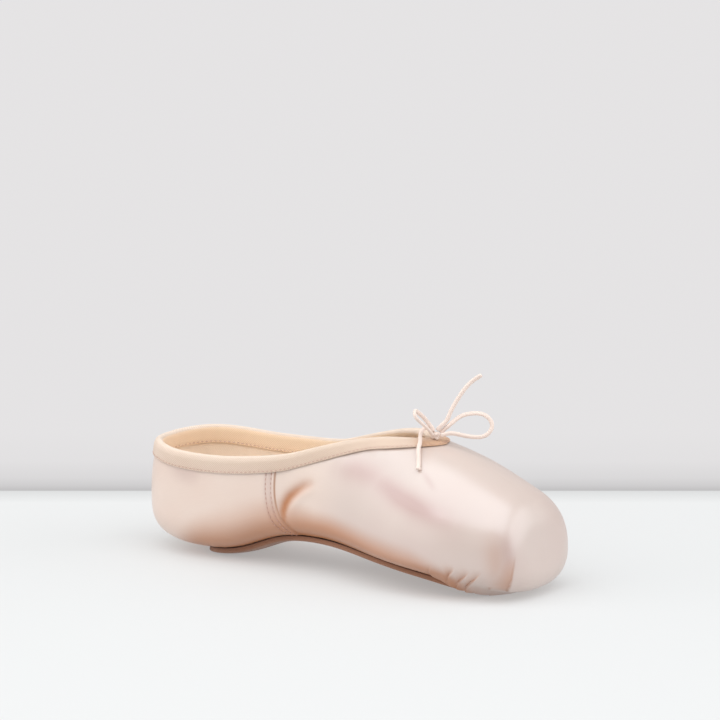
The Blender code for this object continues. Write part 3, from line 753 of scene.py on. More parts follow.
def quarter_edge(place):
    """Height of the quarter over the vamp, with a rolled edge and troughs along its stitch rows."""
    roll = np.sqrt(np.clip(1 - np.clip(place / 0.45 + 1, 0, 1) ** 2, 0, 1))
    height = np.where(place < 0, LAP / MM * roll, 0)
    height += 0.30 * np.exp(-(((place + 0.75) / 0.55) ** 2)) * (place < 0)
    height -= 0.22 * np.exp(-(((place - 0.12) / 0.35) ** 2)) * (place >= 0)
    for row in SEAM_ROWS:
        height -= 0.22 * np.exp(-(((place - row) / 0.45) ** 2))
    return height * MM


def up_distance(grid):
    """Distance up each profile from its first row."""
    step = np.linalg.norm(np.diff(grid, axis=1), axis=2)
    return np.concatenate([np.zeros((len(grid), 1)), np.cumsum(step, axis=1)], 1)


def rim_distance(grid):
    """Distance down each profile from the collar."""
    return up_distance(grid[:, ::-1])[:, ::-1]


def cloth_grid(side, rows, step=1):
    """The wall's surface in columns at their places from the side seam, and the way out of it."""
    grid = seamed(wall_grid(side, rows), *places)[::step]
    grid[[0, -1], :, 1] = 0
    out = normal(grid)
    out[[0, -1], :, 1] = 0
    return grid, out


def from_ends(grid):
    """How many columns each one is from the nearer end of its half."""
    columns = np.arange(len(grid))
    return np.minimum(columns, columns[::-1])[:, None]


def lapped(place):
    """Height of the quarter's lap under the tape, gone a little ahead of the seam."""
    return LAP * (1 - smoothstep(place, -1.0, 9.0))


def satin_side(side):
    """Half of the satin: its outer surface, the way out of it, and its marks of colour and painted shade."""
    grid, out = cloth_grid(side, BASE_ROWS)
    x = grid[..., 0] / LENGTH
    gap, back = from_outline(grid, outline)
    trough, crease_shade = folds(grid, side)
    # pinch is the painted shade in the pleats' creases and on their heel sides
    pleat, pinch = pleats(grid, side)
    height = trough + pleat + gathers(gap, back) + under_tape(grid) + unevenness(grid, side)
    height = height * smoothstep(from_ends(grid), 0, 6)
    height = height + quarter_edge(places[0])[:, None] * smoothstep(gap / MM, 0, 4)
    height -= BACK_SEAM * np.exp(-((grid[..., 1] / MM / 0.5) ** 2)) * (x < 0.5)
    swell = (0.25 + 0.85 * smoothstep(x, 0.80, 0.88)) * MM
    height += swell * np.exp(-(((gap / MM - 1.4) / 1.5) ** 2)) * (gap > 0)
    height = np.where(gap < 0, np.minimum(height, 0), height)
    points = grid + out * height[..., None]
    hem = HEM * smoothstep(x, 0.79, 0.84) * np.exp(-(((gap / MM - 2.0) / 4.5) ** 2)) * (gap > 0.2 * MM)
    points[..., 2] = np.where(hem > 0, np.maximum(points[..., 2] - hem, HEM_CLEAR), points[..., 2])
    return on_side(side, points), on_side(side, out), *satin_marks(grid, side, x, gap / MM, crease_shade, pinch)


def satin_marks(grid, side, x, gap, crease_shade, pinch):
    """Each point's painted shade, its pink tint and painted shade, the painted shade of the gap at the sole, and its
    share of the vamp's darker painted colour.
    """
    # painted shade: in the creases' troughs, on the pleats and beside the sole
    brown = np.maximum(np.maximum(0.90 * crease_shade, pinch), painted_sole_shade(x, gap))
    # painted shade in the crevice along the quarter's edge
    brown = np.maximum(brown, 0.75 * np.exp(-(((places[0] - 0.15) / 0.40) ** 2))[:, None])
    # the strip between the quarter's edge and its stitch rows is tinted pinker
    strip = 0.40 * smoothstep(places[0], -6.5, -5.0) * (1 - smoothstep(places[0], -1.2, -0.4))
    blush = np.maximum(pink_and_painted_shades(grid, side), strip[:, None])
    # painted shade in the thin gap between the satin and the sole
    glue = np.exp(-((gap / 0.7) ** 2)) * smoothstep(x, 0.17, 0.22) * (1 - smoothstep(x, 0.70, 0.84))
    # the last mark is the share of the vamp's darker painted colour; the heel is painted lighter, as more light falls
    # there
    return brown, blush, glue, smoothstep(x, 0.44, 0.58)


def painted_sole_shade(x, gap):
    """How much painted shade the satin takes towards the sole, further up at the heel and waist than at the toe."""
    full, none = (np.interp(x, *np.array(ends).T) for ends in (SOLE_SHADE_FULL, SOLE_SHADE_NONE))
    pale = 1 - 0.80 * smoothstep(x, *SOLE_SHADE_FADE)
    return pale * (1 - smoothstep(gap, full, none)) * (0.85 + 0.15 * (1 - smoothstep(gap, 0, full)))


def ring(near, far):
    """Two halves from the heel's back to the toe, joined into one ring round the shoe."""
    return np.concatenate([near[:-1], far[::-1][:-1]])


def loft(name, grid, uv, marks=None):
    """A closed shell through closed profiles in a ring. Faces point out where profiles go up the outside."""
    count, width = grid.shape[:2]
    index = np.arange(count * width).reshape(count, width)
    ahead, up = np.roll(index, -1, 0), np.roll(index, -1, 1)
    both = np.roll(ahead, -1, 1)
    faces = np.stack([index, ahead, both, up], -1).reshape(-1, 4)
    mesh = new_mesh(name, grid.reshape(-1, 3), faces.tolist())
    u, v = (np.broadcast_to(part, (count, width)) for part in uv)
    u_next, v_next = np.roll(u, -1, 0).copy(), np.roll(v, -1, 0)
    u_next[-1] = u[-1] + (u[-1] - u[-2])
    corners = [(u, v), (u_next, v_next), (np.roll(u_next, -1, 1), np.roll(v_next, -1, 1))]
    corners.append((np.roll(u, -1, 1), np.roll(v, -1, 1)))
    lay_cloth(mesh, np.stack([np.stack(corner, -1) for corner in corners], 2))
    add_marks(mesh, {name: np.broadcast_to(values, (count, width)) for name, values in (marks or {}).items()})
    return show(name, mesh)


def new_mesh(name, points, faces):
    mesh = bpy.data.meshes.new(name)
    mesh.from_pydata(in_frame(points).tolist(), [], faces)
    mesh.shade_smooth()
    return mesh


def in_frame(points):
    return points + np.array([shift, 0, 0])


def lay_cloth(mesh, corners):
    """Cloth coordinates, one pair for each corner of each face."""
    mesh.uv_layers.new(name="cloth").data.foreach_set("uv", corners.reshape(-1).astype(np.float32))


def lay_cloth_by_point(mesh, points):
    corner = np.empty(len(mesh.loops), np.int32)
    mesh.loops.foreach_get("vertex_index", corner)
    lay_cloth(mesh, points[corner])


def add_marks(mesh, marks):
    for name, values in marks.items():
        attribute = mesh.attributes.new(name, "FLOAT", "POINT")
        attribute.data.foreach_set("value", values.reshape(-1).astype(np.float32))


def show(name, mesh):
    piece = bpy.data.objects.new(name, mesh)
    bpy.context.scene.collection.objects.link(piece)
    return piece


def finish_piece(piece, look, slot_name, *nodes):
    piece.data.materials.clear()
    piece.data.materials.append(look)
    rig.ride(piece, "root")
    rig.slot(piece, slot_name)
    if nodes:
        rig.replaces(piece, *nodes)
    return piece


class Value:
    """A shader socket that can be used in sums."""

    def __init__(self, nodes, socket):
        self.nodes, self.socket = nodes, socket

    def math(self, operation, *values):
        return self.nodes.make("ShaderNodeMath", {"operation": operation}, dict(enumerate(values)))

    def __add__(self, other):
        return self.math("ADD", self, other)

    def __mul__(self, other):
        return self.math("MULTIPLY", self, other)

    __radd__ = __add__
    __rmul__ = __mul__


class Look:
    """A material and the one way its nodes are made."""

    def __init__(self, name, **constants):
        self.material = bpy.data.materials.new(name)
        self.material.use_nodes = True
        self.tree = self.material.node_tree
        self.shader = self.tree.nodes["Principled BSDF"]
        for socket, value in constants.items():
            self.shader.inputs[socket.replace("_", " ")].default_value = value

    def make(self, kind, settings=None, inputs=None, output=0):
        node = self.tree.nodes.new(kind)
        for name, value in (settings or {}).items():
            if name == "stops":
                while len(node.color_ramp.elements) < len(value):
                    node.color_ramp.elements.new(0.5)
                for element, (place, colour) in zip(node.color_ramp.elements, value):
                    element.position, element.color = place, (*colour, 1)
            else:
                setattr(node, name, value)
        for name, value in (inputs or {}).items():
            if isinstance(value, Value):
                self.tree.links.new(value.socket, node.inputs[name])
            else:
                node.inputs[name].default_value = value
        return Value(self, node.outputs[output])

    def feed(self, socket, value):
        self.tree.links.new(value.socket, self.shader.inputs[socket])

    def place(self):
        return self.make("ShaderNodeTexCoord", output="Object")

    def cloth(self):
        return self.make("ShaderNodeUVMap", {"uv_map": "cloth"})

    def mark(self, name):
        return self.make("ShaderNodeAttribute", {"attribute_name": name}, output="Fac")

    def stretched(self, where, scale, turn=0.0):
        inputs = {"Vector": where, "Scale": scale, "Rotation": (0, 0, turn)}
        return self.make("ShaderNodeMapping", None, inputs)

    def noise(self, where, scale, detail=3.0, rough=0.55):
        inputs = {"Vector": where, "Scale": scale, "Detail": detail, "Roughness": rough}
        return self.make("ShaderNodeTexNoise", None, inputs)

    def wave(self, where, scale, direction="X", warp=0.0):
        settings = {"wave_type": "BANDS", "bands_direction": direction, "wave_profile": "SIN"}
        return self.make("ShaderNodeTexWave", settings, {"Vector": where, "Scale": scale, "Distortion": warp})

    def mix(self, share, one, two):
        inputs = {"Factor": share, 6: colour_of(one), 7: colour_of(two)}
        return self.make("ShaderNodeMix", {"data_type": "RGBA"}, inputs, output=2)

    def between(self, value, low, high, to_low=0.0, to_high=1.0):
        inputs = {"Value": value, "From Min": low, "From Max": high, "To Min": to_low, "To Max": to_high}
        return self.make("ShaderNodeMapRange", None, inputs)

    def bump(self, height, strength, distance):
        inputs = {"Height": height, "Strength": strength, "Distance": distance}
        self.feed("Normal", self.make("ShaderNodeBump", None, inputs))


def colour_of(value):
    return value if isinstance(value, Value) else (*value, 1)


def satin_look():
    sheen = {"Sheen_Weight": 0.1, "Sheen_Roughness": 0.4}
    look = Look("pink_satin", IOR=2.0, Anisotropic=0.3, Specular_Tint=(0.78, 0.9, 1.0, 1), **sheen)
    where, cloth = look.place(), look.cloth()
    look.feed("Metallic", look.between(look.noise(where, 30.0, 2.0), 0.3, 0.7, 0.03, 0.08))
    patch = look.between(look.noise(where, 22.0, 2.0), 0.35, 0.68)
    streak = look.noise(look.stretched(cloth, (140, 1500, 1)), 1.0, 2.0)
    # painted light: the heel's cloth is painted lighter and the vamp's darker, as more light falls on the heel
    heel = look.mix(patch, (0.79, 0.635, 0.545), (0.78, 0.60, 0.505))
    vamp = look.mix(patch, (0.655, 0.535, 0.475), (0.64, 0.505, 0.45))
    base = look.mix(look.mark("vamp"), heel, vamp)
    base = look.mix(look.between(streak, 0.3, 0.7, 0, 0.12), base, (0.66, 0.49, 0.43))
    # pinker and darker: painted shade under the highlight, the cord's painted cast shadow, and pink patches
    base = look.mix(look.mark("blush") * 0.85, base, (0.52, 0.34, 0.30))
    # painted shade: brown beside the sole, in the creases and on the pleats
    base = look.mix(look.mark("brown") * 0.97, base, (0.47, 0.155, 0.026))
    # painted shade in the thin gap between the satin and the sole
    base = look.mix(look.mark("glue") * 0.85, base, (0.09, 0.03, 0.015))
    look.feed("Base Color", base)
    look.feed("Roughness", look.between(look.noise(where, 60.0, 3.0), 0.3, 0.7, 0.285, 0.345))
    threads = look.wave(look.stretched(cloth, (1, 1, 1), 0.6), 3600.0, "X", 0.4)
    slubs = look.noise(look.stretched(cloth, (300, 3000, 1)), 1.0, 2.0)
    look.bump(threads * 0.10 + slubs, 0.02, 0.00010)
    return look.material


def twill_look(name, base, dark, scale, inside=None):
    """Cotton with slanting ribs, in the cloth's own coordinates."""
    look = Look(name, Roughness=0.85, Specular_IOR_Level=0.3, Sheen_Weight=0.25)
    where, cloth = look.place(), look.cloth()
    ribs = look.wave(look.stretched(cloth, (1, 1, 1), 0.75), scale, "X", 1.0)
    cross = look.wave(look.stretched(cloth, (1, 1, 1), -0.75), scale * 2.1, "X", 0.6)
    fibre = look.noise(cloth, 2200.0, 3.0)
    relief = ribs * 0.7 + cross * 0.2 + fibre * 0.35
    colour = look.mix(look.between(relief, 0.25, 1.0, 0.0, 1.0), dark, base)
    colour = look.mix(look.between(look.noise(where, 55.0, 3.0), 0.35, 0.7, 0.0, 0.25), colour, dark)
    if inside:
        for mark, share, low, high in (
            # painted shade: the tape darker towards the throat
            ("fore", 0.6, (0.62, 0.45, 0.345), (0.76, 0.60, 0.48)),
            # painted highlight along the bead
            ("bead", 0.7, (0.78, 0.62, 0.50), (0.92, 0.81, 0.70)),
            # faces turned to the foot: a warmer cloth colour, with painted light bounced off the lining
            ("inside", 1.0, (0.88, 0.63, 0.43), inside),
        ):
            colour = look.mix(look.mark(mark) * share, colour, look.mix(ribs, low, high))
        # painted shade where the tape is drawn together under the knot
        colour = look.mix(look.mark("gather"), colour, (0.58, 0.33, 0.18))
    look.feed("Base Color", colour)
    look.bump(relief, 0.6, 0.00030)
    return look.material


def suede_look():
    look = Look("suede_outsole", Roughness=0.9, Specular_IOR_Level=0.25, Sheen_Weight=0.2)
    where = look.place()
    nap = look.noise(where, 900.0, 4.0, 0.7)
    cloudy = look.noise(where, 45.0, 4.0)
    base = look.mix(look.between(cloudy, 0.35, 0.65), (0.24, 0.115, 0.078), (0.33, 0.175, 0.118))
    base = look.mix(look.between(nap, 0.3, 0.75, 0, 0.45), base, (0.50, 0.31, 0.22))
    base = look.mix(look.mark("edge") * 0.85, base, (0.32, 0.155, 0.095))
    # painted shade in the gap between the sole's edge and the satin
    base = look.mix(look.mark("glue") * 0.8, base, (0.08, 0.03, 0.015))
    base = look.mix(look.mark("worn") * 0.6, base, (0.13, 0.07, 0.055))
    look.feed("Base Color", base)
    look.feed("Roughness", look.between(cloudy, 0.3, 0.7, 0.82, 0.95))
    look.bump(nap, 0.5, 0.00030)
    return look.material


def cord_look():
    look = Look("drawstring_cotton", Roughness=0.7, Specular_IOR_Level=0.35, Sheen_Weight=0.3)
    cloth = look.cloth()
    plait = look.wave(look.stretched(cloth, (1, 1, 1), 0.7), 420.0, "X", 0.4)
    back = look.wave(look.stretched(cloth, (1, 1, 1), -0.7), 420.0, "X", 0.4)
    relief = plait * 0.5 + back * 0.5 + look.noise(cloth, 1200.0, 2.0) * 0.3
    colour = look.mix(look.between(relief, 0.3, 1.0), (0.80, 0.645, 0.57), (0.85, 0.72, 0.65))
    look.feed("Base Color", colour)
    look.bump(relief, 0.08, 0.00010)
    return look.material


def thread_look():
    look = Look("sewing_thread", Roughness=0.6, Specular_IOR_Level=0.4)
    twist = look.noise(look.place(), 1800.0, 2.0)
    look.feed("Base Color", look.mix(look.between(twist, 0.3, 0.7), (0.46, 0.26, 0.21), (0.66, 0.43, 0.36)))
    return look.material


def round_distance(grid, row):
    """Distance round the ring at one row."""
    step = np.linalg.norm(np.diff(grid[:, row], axis=0), axis=1)
    return np.concatenate([[0], np.cumsum(step)])[:, None]


def make_satin(look):
    near, far = satin_side("near"), satin_side("far")
    outer, out, *marks = (ring(a, b) for a, b in zip(near, far))

    def closed(face, back):
        return np.concatenate([face, back[:, ::-8]], 1)

    marks = {name: closed(mark, mark) for name, mark in zip(("brown", "blush", "glue", "vamp"), marks)}
    u, v = round_distance(outer, outer.shape[1] // 2), up_distance(outer)
    piece = loft("upper_satin", closed(outer, outer - out * SATIN), (u, closed(v, v)), marks)
    finish_piece(piece, look, "pink_satin", "upper")


def lining_side(side):
    """The last's surface, the way out of it, and how far inside it the lining lies."""
    grid, out = cloth_grid(side, LINING_ROWS, 2)
    x, _, z = np.moveaxis(grid / MM, -1, 0)
    wave = 0.18 * np.sin(x / 5.2 + z / 7.0 + np.sin(z / 9.0)) * np.sin(z / 8.0 + x / 21.0)
    pucker = 0.16 * np.sin(x / 1.6 + 1.3 * np.sin(x / 7.0))
    pucker = pucker * np.exp(-((rim_distance(grid) / MM - 9) / 3.5) ** 2)
    fade = smoothstep(from_ends(grid), 0, 4)
    deep = (wall(grid[..., 0]) - 0.05 * MM) + np.clip((wave + pucker) * fade, -0.3, 0.0) * MM
    return on_side(side, grid), on_side(side, out), deep


def make_lining(look):
    near, far = lining_side("near"), lining_side("far")
    surface, out, deep = (ring(a, b) for a, b in zip(near, far))
    face = surface - out * deep[..., None]
    cover = (surface - out * (wall(surface[..., :1]) - 0.35 * MM))[:, ::3]
    grid = np.concatenate([cover, face[:, ::-1]], 1)
    u, v = round_distance(surface, surface.shape[1] // 2), up_distance(surface)
    piece = loft("upper_lining", grid, (u, np.concatenate([v[:, ::3], v[:, ::-1]], 1)))
    finish_piece(piece, look, "insole_lining", "upper")


def tape_side(side):
    """Profiles of the tape: up the outer leaf, over the bead, down the inner leaf and back along the wall."""
    grid, out = cloth_grid(side, TAPE_WALL_ROWS)
    shares, shape, wavy = np.array(TAPE_ROWS), np.array(TAPE_LIFT), np.array(TAPE_RIPPLE)
    result, across, marks = [], [], []
    for line, sides, place in zip(grid, out, places[0]):
        along, length = walk(line[::-1])
        upward = line[-1] - line[-2]
        upward = upward / np.linalg.norm(upward)
        depth = tape_depth(line[-1, 0])
        near, far = lapped(place) + GAP, -wall(line[-1, 0]) - GAP
        edge = line[-1] + upward * GAP
        half = (near - far) / 2 + TAPE

        def leaf(below, offset):
            at = np.array(below) / length
            point = np.stack([np.interp(at, along, c) for c in line[::-1].T], -1)
            face = np.stack([np.interp(at, along, c) for c in sides[::-1].T], -1)
            return point + face * np.array(offset)[..., None]

        x = line[-1, 0] / MM
        calm = smoothstep(abs(line[-1, 1]) / MM, 0.0, 3.0)
        tight = 0.08 + 0.60 * smoothstep(x, *THROAT_GATHER)
        pull = tight * np.sin(place / 1.3 + 1.2 * np.sin(place / 7.3)) * calm
        turn = np.linspace(0, np.pi, 9)[1:-1]
        centre = edge + sides[-1] * (near + far) / 2
        bead = [centre + sides[-1] * np.cos(t) * half + upward * np.sin(t) * half * 0.9 for t in turn]
        profile = [
            leaf(depth * shares, near + TAPE * np.minimum(shape, TAPE_BEAD) + pull * wavy * 0.18 * MM),
            bead,
            leaf(TAPE_INNER * shares[::-1], far - TAPE * np.minimum(shape[::-1], 1.0)),
            leaf(TAPE_INNER * shares[[0, 4, 8]], [far] * 3),
            [edge + sides[-1] * far, edge + sides[-1] * near],
            leaf(depth * shares[[8, 4, 0]], [near] * 3),
        ]
        result.append(np.concatenate(profile))
        across.append(up_distance(result[-1][None])[0])
        marks.append(tape_marks(x, np.arange(len(result[-1]))))
    return on_side(side, np.array(result)), np.array(across), *np.array(marks, float).transpose(1, 0, 2)


def tape_marks(x, rows):
    """Where the tape faces the foot, its bead's painted highlight, its painted shade where drawn together at the
    throat, and its painted shade towards the front.
    """
    inside = (rows >= TAPE_INSIDE[0]) & (rows <= TAPE_INSIDE[1])
    # painted highlight along the bead
    bead = np.exp(-(((rows - BEAD_ROW) / 2.6) ** 2))
    # painted shade where the drawstring draws the tape together under the knot
    throat_shade_reach = smoothstep(x, 160.5, 166) * np.where(rows < BEAD_ROW, 0.75, 0.3)
    gather = throat_shade_reach * (1 - 0.5 * np.exp(-(((rows - 10) / 3.0) ** 2)))
    # the last mark makes the tape darker towards the throat, as painted shade
    return inside, bead, gather, np.full(len(rows), smoothstep(x, 70, 115))


def tape_depth(x):
    """Width of the tape's outer leaf, widest where it goes round the throat."""
    return TAPE_OUTER * np.interp(x / throat(), *np.array(TAPE_LEAF).T)


def make_binding(look):
    near, far = tape_side("near"), tape_side("far")
    grid, across, *marks = (ring(a, b) for a, b in zip(near, far))
    u = round_distance(grid, 15)
    piece = loft("binding_tape", grid, (u, across), dict(zip(("inside", "bead", "gather", "fore"), marks)))
    finish_piece(piece, look, "cotton_binding", "binding")


def sole_points(inset, walls, offset):
    """Half a ring of the sole, moved in from the outline, in by a share of the wall, and out by an offset."""
    back, front = SOLE_BACK + inset, LENGTH - SOLE_SET - inset
    x = (back + front) / 2 - (front - back) / 2 * np.cos(np.linspace(0, np.pi, SOLE_COLUMNS + 1))
    y = -np.maximum(sole_half(x, inset), 0)
    y[[0, -1]] = 0
    start = np.stack([x, y, section("widest", np.maximum(x, HEEL_DEPTH))], -1)
    points = reach(start, np.array([0.0, 0.0, -1.0]))
    points = points + normal(points) * (offset - walls * wall(x))[..., None]
    points[[0, -1], 1] = 0
    return points


def sole_layer(name, rings, marks):
    """A layer of the sole through closed rings, with its middle covered by strips across the shoe.

    Each ring has its inset, its share of the wall and its offset, as sole_points takes them.
    """
    half = np.stack([sole_points(*one) for one in rings], 1)
    half[..., 2] = np.maximum(half[..., 2], 0)
    count, width = half.shape[:2]
    grid = ring(half, on_side("far", half))
    total = len(grid)
    index = np.arange(total * width).reshape(total, width)
    ahead = np.roll(index, -1, 0)
    sides = np.stack([index[:, :-1], ahead[:, :-1], ahead[:, 1:], index[:, 1:]], -1).reshape(-1, 4)
    caps = []
    for row, flip in ((0, False), (width - 1, True)):
        for i in range(count - 1):
            a, b = index[i, row], index[(i + 1) % total, row]
            c, d = index[(total - i - 1) % total, row], index[(total - i) % total, row]
            face = [v for k, v in enumerate((a, d, c, b)) if v not in (a, d, c, b)[:k]]
            caps.append(face[::-1] if flip else face)
    mesh = new_mesh(name, grid.reshape(-1, 3), sides.tolist() + caps)
    mesh.set_sharp_from_angle(angle=np.radians(50))
    lay_cloth_by_point(mesh, grid[..., :2].reshape(-1, 2))
    add_marks(mesh, marks(grid))
    return show(name, mesh)


def outsole_marks(grid):
    """The sole's cut edge, painted shade in the gap at the satin, and where the tread is worn."""
    width = grid.shape[1]
    x = grid[..., 0] / LENGTH
    edge, glue = np.zeros(x.shape), np.zeros(x.shape)
    edge[:, width // 2 - 3 : width // 2 + 3] = 1
    edge *= smoothstep(x, 0.19, 0.28)
    # painted shade: the dark gap between the sole's edge and the satin
    gap_shade_along = smoothstep(x, 0.20, 0.26) * (1 - smoothstep(x, 0.74, 0.86))
    glue[:, width // 2 + 2 : width // 2 + 5] = gap_shade_along[:, :3]
    low = 1 - smoothstep(grid[..., 2] / MM, 0.0, 1.4)
    tread = np.exp(-(((x - 0.19) / 0.05) ** 2)) + np.exp(-(((x - 0.86) / 0.09) ** 2))
    return {"edge": edge, "glue": glue, "worn": np.clip(low * tread, 0, 1)}


def make_outsole(look):
    low = SEAT + OUTSOLE_THICK
    insets = (SOLE_MIDDLE, 0.009, 0.006, 0.004, 0.0025, 0.0012)
    rings = [(inset, 0, low) for inset in insets]
    rings += [(0.0006, 0, low - 0.0001), (0.0002, 0, low - 0.0004), (0, 0, low - 0.0008), (0, 0, low - 0.0014)]
    rings += [(0, 0, SEAT + 0.0005), (0.0001, 0, SEAT + 0.0002), (0.0004, 0, SEAT)]
    rings += [(inset, 0, SEAT) for inset in insets[::-1]]
    finish_piece(sole_layer("outsole_suede", rings, outsole_marks), look, "suede_outsole", "outsole")


def make_insole(look):
    fill, edge = SOLE_LAP + 2 * SEAT, SOLE_LAP - INSOLE_LAP
    rings = [(SOLE_MIDDLE, 0, 0), (fill, 0, 0), (fill, 1, -SEAT), (SOLE_LAP / 2, 1, -SEAT), (edge, 1, -SEAT)]
    rings += [(edge, 1, -SEAT - INSOLE_THICK * 0.6), (edge + 0.0004, 1, -SEAT - INSOLE_THICK)]
    rings += [(inset, 1, -SEAT - INSOLE_THICK) for inset in (SOLE_LAP / 2, fill, SOLE_MIDDLE)]
    piece = sole_layer("insole_cover", rings, lambda grid: {})
    finish_piece(piece, look, "insole_lining", "insole")


def above(x, y, offset):
    """A point over the closed form, and the way out of it there."""
    point = reach(np.array([x, y, section("widest", x)]), np.array([0.0, 0.0, 1.0]))
    way = normal(point)
    return point + way * offset, way


def smooth_route(points, step):
    """A curve through the points, cut into even steps."""
    points = np.array(points)
    along, _ = walk(points)
    fine = np.linspace(0, 1, 400)
    curve = np.stack([spline(fine, list(zip(along, column))) for column in points.T], -1)
    _, length = walk(curve)
    return sample(curve, np.linspace(0, 1, max(int(round(length / step)), 3) + 1))


def tube(name, route, wide, thick, up, sides=14, end_flare=0.0):
    """A flattened cord along a route. Its thin side faces up at the start."""
    along, length = walk(route)
    tangent = np.gradient(route, axis=0)
    tangent /= np.linalg.norm(tangent, axis=1, keepdims=True)
    face = np.array(up, float)
    angle = np.linspace(0, 2 * np.pi, sides, endpoint=False)
    points, marks = [], []
    for centre, way, at in zip(route, tangent, along * length):
        face = face - way * (face @ way)
        face /= np.linalg.norm(face)
        across = np.cross(way, face)
        to_end = (length - at) / MM
        grow = 1 + end_flare * np.exp(-((to_end / 0.8) ** 2))
        slack = 1 + 0.04 * np.sin(at / MM * 1.7)
        sideways = np.cos(angle)[:, None] * across * wide / 2 * grow * slack
        points.append(centre + (sideways + np.sin(angle)[:, None] * face * thick / 2))
        marks.append(np.full(sides, at))
    cap = [points[0].mean(0) - tangent[0] * thick * 0.12, points[-1].mean(0) + tangent[-1] * thick * 0.12]
    count = len(points)
    index = np.arange(count * sides).reshape(count, sides)
    around = np.roll(index, -1, 1)
    faces = np.stack([index[:-1], around[:-1], around[1:], index[1:]], -1).reshape(-1, 4).tolist()
    faces += [[count * sides, around[0, k], index[0, k]] for k in range(sides)]
    faces += [[count * sides + 1, index[-1, k], around[-1, k]] for k in range(sides)]
    mesh = new_mesh(name, np.concatenate([np.concatenate(points), cap]), faces)
    u = np.concatenate([np.concatenate(marks), [0, length]])
    v = np.concatenate([np.tile(angle * wide / 2, count), [0, 0]])
    lay_cloth_by_point(mesh, np.stack([u, v], -1))
    return show(name, mesh)


def make_bow(look):
    """The knot, and the four cords that leave it. The end that hangs down lies on the tape and the satin."""
    middle, way = above(throat() + KNOT_AHEAD, -KNOT_ASIDE, TAPE + 2 * GAP + KNOT_HIGH / 2)
    knot = make_knot(middle, way, look)
    lying = []
    for ahead, left, share in END_LYING:
        offset = CORD / 2 + GAP + share * (TAPE_BEAD * TAPE + GAP)
        lying.append((above(middle[0] + ahead * MM, left * MM, offset)[0] - middle) / MM)
    cords = (
        ("loop_far", LOOP_FAR, (0.3, -0.6, 0.7), 0.0, "knot", [knot]),
        ("loop_near", LOOP_NEAR, (0.6, -0.5, 0.3), 0.0, "knot", []),
        ("end_up", END_UP, (0.6, -0.7, 0.0), 0.0, "bare", []),
        ("end_down", (*END_DOWN, *lying), (-0.2, -0.4, 0.9), 0.35, "bare", []),
    )
    for name, points, up, flare, far_end, others in cords:
        route = smooth_route(middle + np.array(points) * MM, ROUTE_STEP)
        piece = tube("drawstring_" + name + "_cord", route, CORD * 1.1, CORD * 0.85, up, end_flare=flare)
        finish_piece(piece, look, "drawstring_cotton", "drawstring_" + name)
        world, (_, length) = in_frame(route), walk(route)
        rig.cord(piece, exit=world[0], length=length, diameter=CORD, far_end=far_end, stiffness="limp",
                path=world[::2] if len(world) % 2 else np.concatenate([world[::2], world[-1:]]),
                with_pieces=others)


def make_knot(middle, way, look):
    """The tied cord: three turns round a short strand, inside the knot's size."""
    t = np.linspace(0, 2 * np.pi, 97)[:-1]
    x = (np.sin(t) + 2 * np.sin(2 * t)) / 3.0
    y = (np.cos(t) - 2 * np.cos(2 * t)) / 3.0
    z = -np.sin(3 * t)
    size = np.array([KNOT_LONG, KNOT_WIDE, KNOT_HIGH]) / 2
    lean = Matrix.Rotation(np.arctan2(way[0], way[2]), 3, "Y")
    strand = CORD * 0.46
    loop = np.stack([x, y, z], -1) * (size - strand)
    route = np.array([np.array(lean @ Vector(p)) for p in loop]) + middle
    route = np.concatenate([route, route[:1]])
    knot = tube("drawstring_knot_cord", route, strand * 2, strand * 1.8, (0.1, 0.2, 1.0), 12)
    finish_piece(knot, look, "drawstring_cotton", "drawstring_knot")
    return knot


def stitches_tree():
    """Stitches laid along a line of points, each turned to the surface by the line's out attribute."""
    tree = bpy.data.node_groups.new("stitches", "GeometryNodeTree")
    face = tree.interface
    face.new_socket("Line", in_out="INPUT", socket_type="NodeSocketGeometry")
    for name in ("Pitch", "Long", "Thread"):
        face.new_socket(name, in_out="INPUT", socket_type="NodeSocketFloat")
    face.new_socket("Look", in_out="INPUT", socket_type="NodeSocketMaterial")
    face.new_socket("Stitches", in_out="OUTPUT", socket_type="NodeSocketGeometry")

    def make(kind, **settings):
        node = tree.nodes.new(kind)
        for key, value in settings.items():
            setattr(node, key, value)
        return node

    given, result = make("NodeGroupInput"), make("NodeGroupOutput")
    curve = make("GeometryNodeMeshToCurve")
    spaced = make("GeometryNodeResampleCurve", mode="LENGTH")
    tangent = make("GeometryNodeInputTangent")
    out = make("GeometryNodeInputNamedAttribute", data_type="FLOAT_VECTOR")
    out.inputs["Name"].default_value = "out"
    turn = make("FunctionNodeAxesToRotation", primary_axis="X", secondary_axis="Z")
    bead = make("GeometryNodeMeshIcoSphere")
    bead.inputs["Radius"].default_value = 0.5
    bead.inputs["Subdivisions"].default_value = 2
    size = make("ShaderNodeCombineXYZ")
    lay = make("GeometryNodeInstanceOnPoints")
    real = make("GeometryNodeRealizeInstances")
    paint = make("GeometryNodeSetMaterial")
    for source, output, target, socket in (
        (given, "Line", curve, 0),
        (curve, 0, spaced, "Curve"),
        (given, "Pitch", spaced, "Length"),
        (spaced, 0, lay, "Points"),
        (tangent, 0, turn, "Primary Axis"),
        (out, 0, turn, "Secondary Axis"),
        (turn, 0, lay, "Rotation"),
        (bead, "Mesh", lay, "Instance"),
        (given, "Long", size, "X"),
        (given, "Thread", size, "Y"),
        (given, "Thread", size, "Z"),
        (size, 0, lay, "Scale"),
        (lay, 0, real, 0),
        (real, 0, paint, "Geometry"),
        (given, "Look", paint, "Material"),
        (paint, 0, result, 0),
    ):
        tree.links.new(source.outputs[output], target.inputs[socket])
    return tree


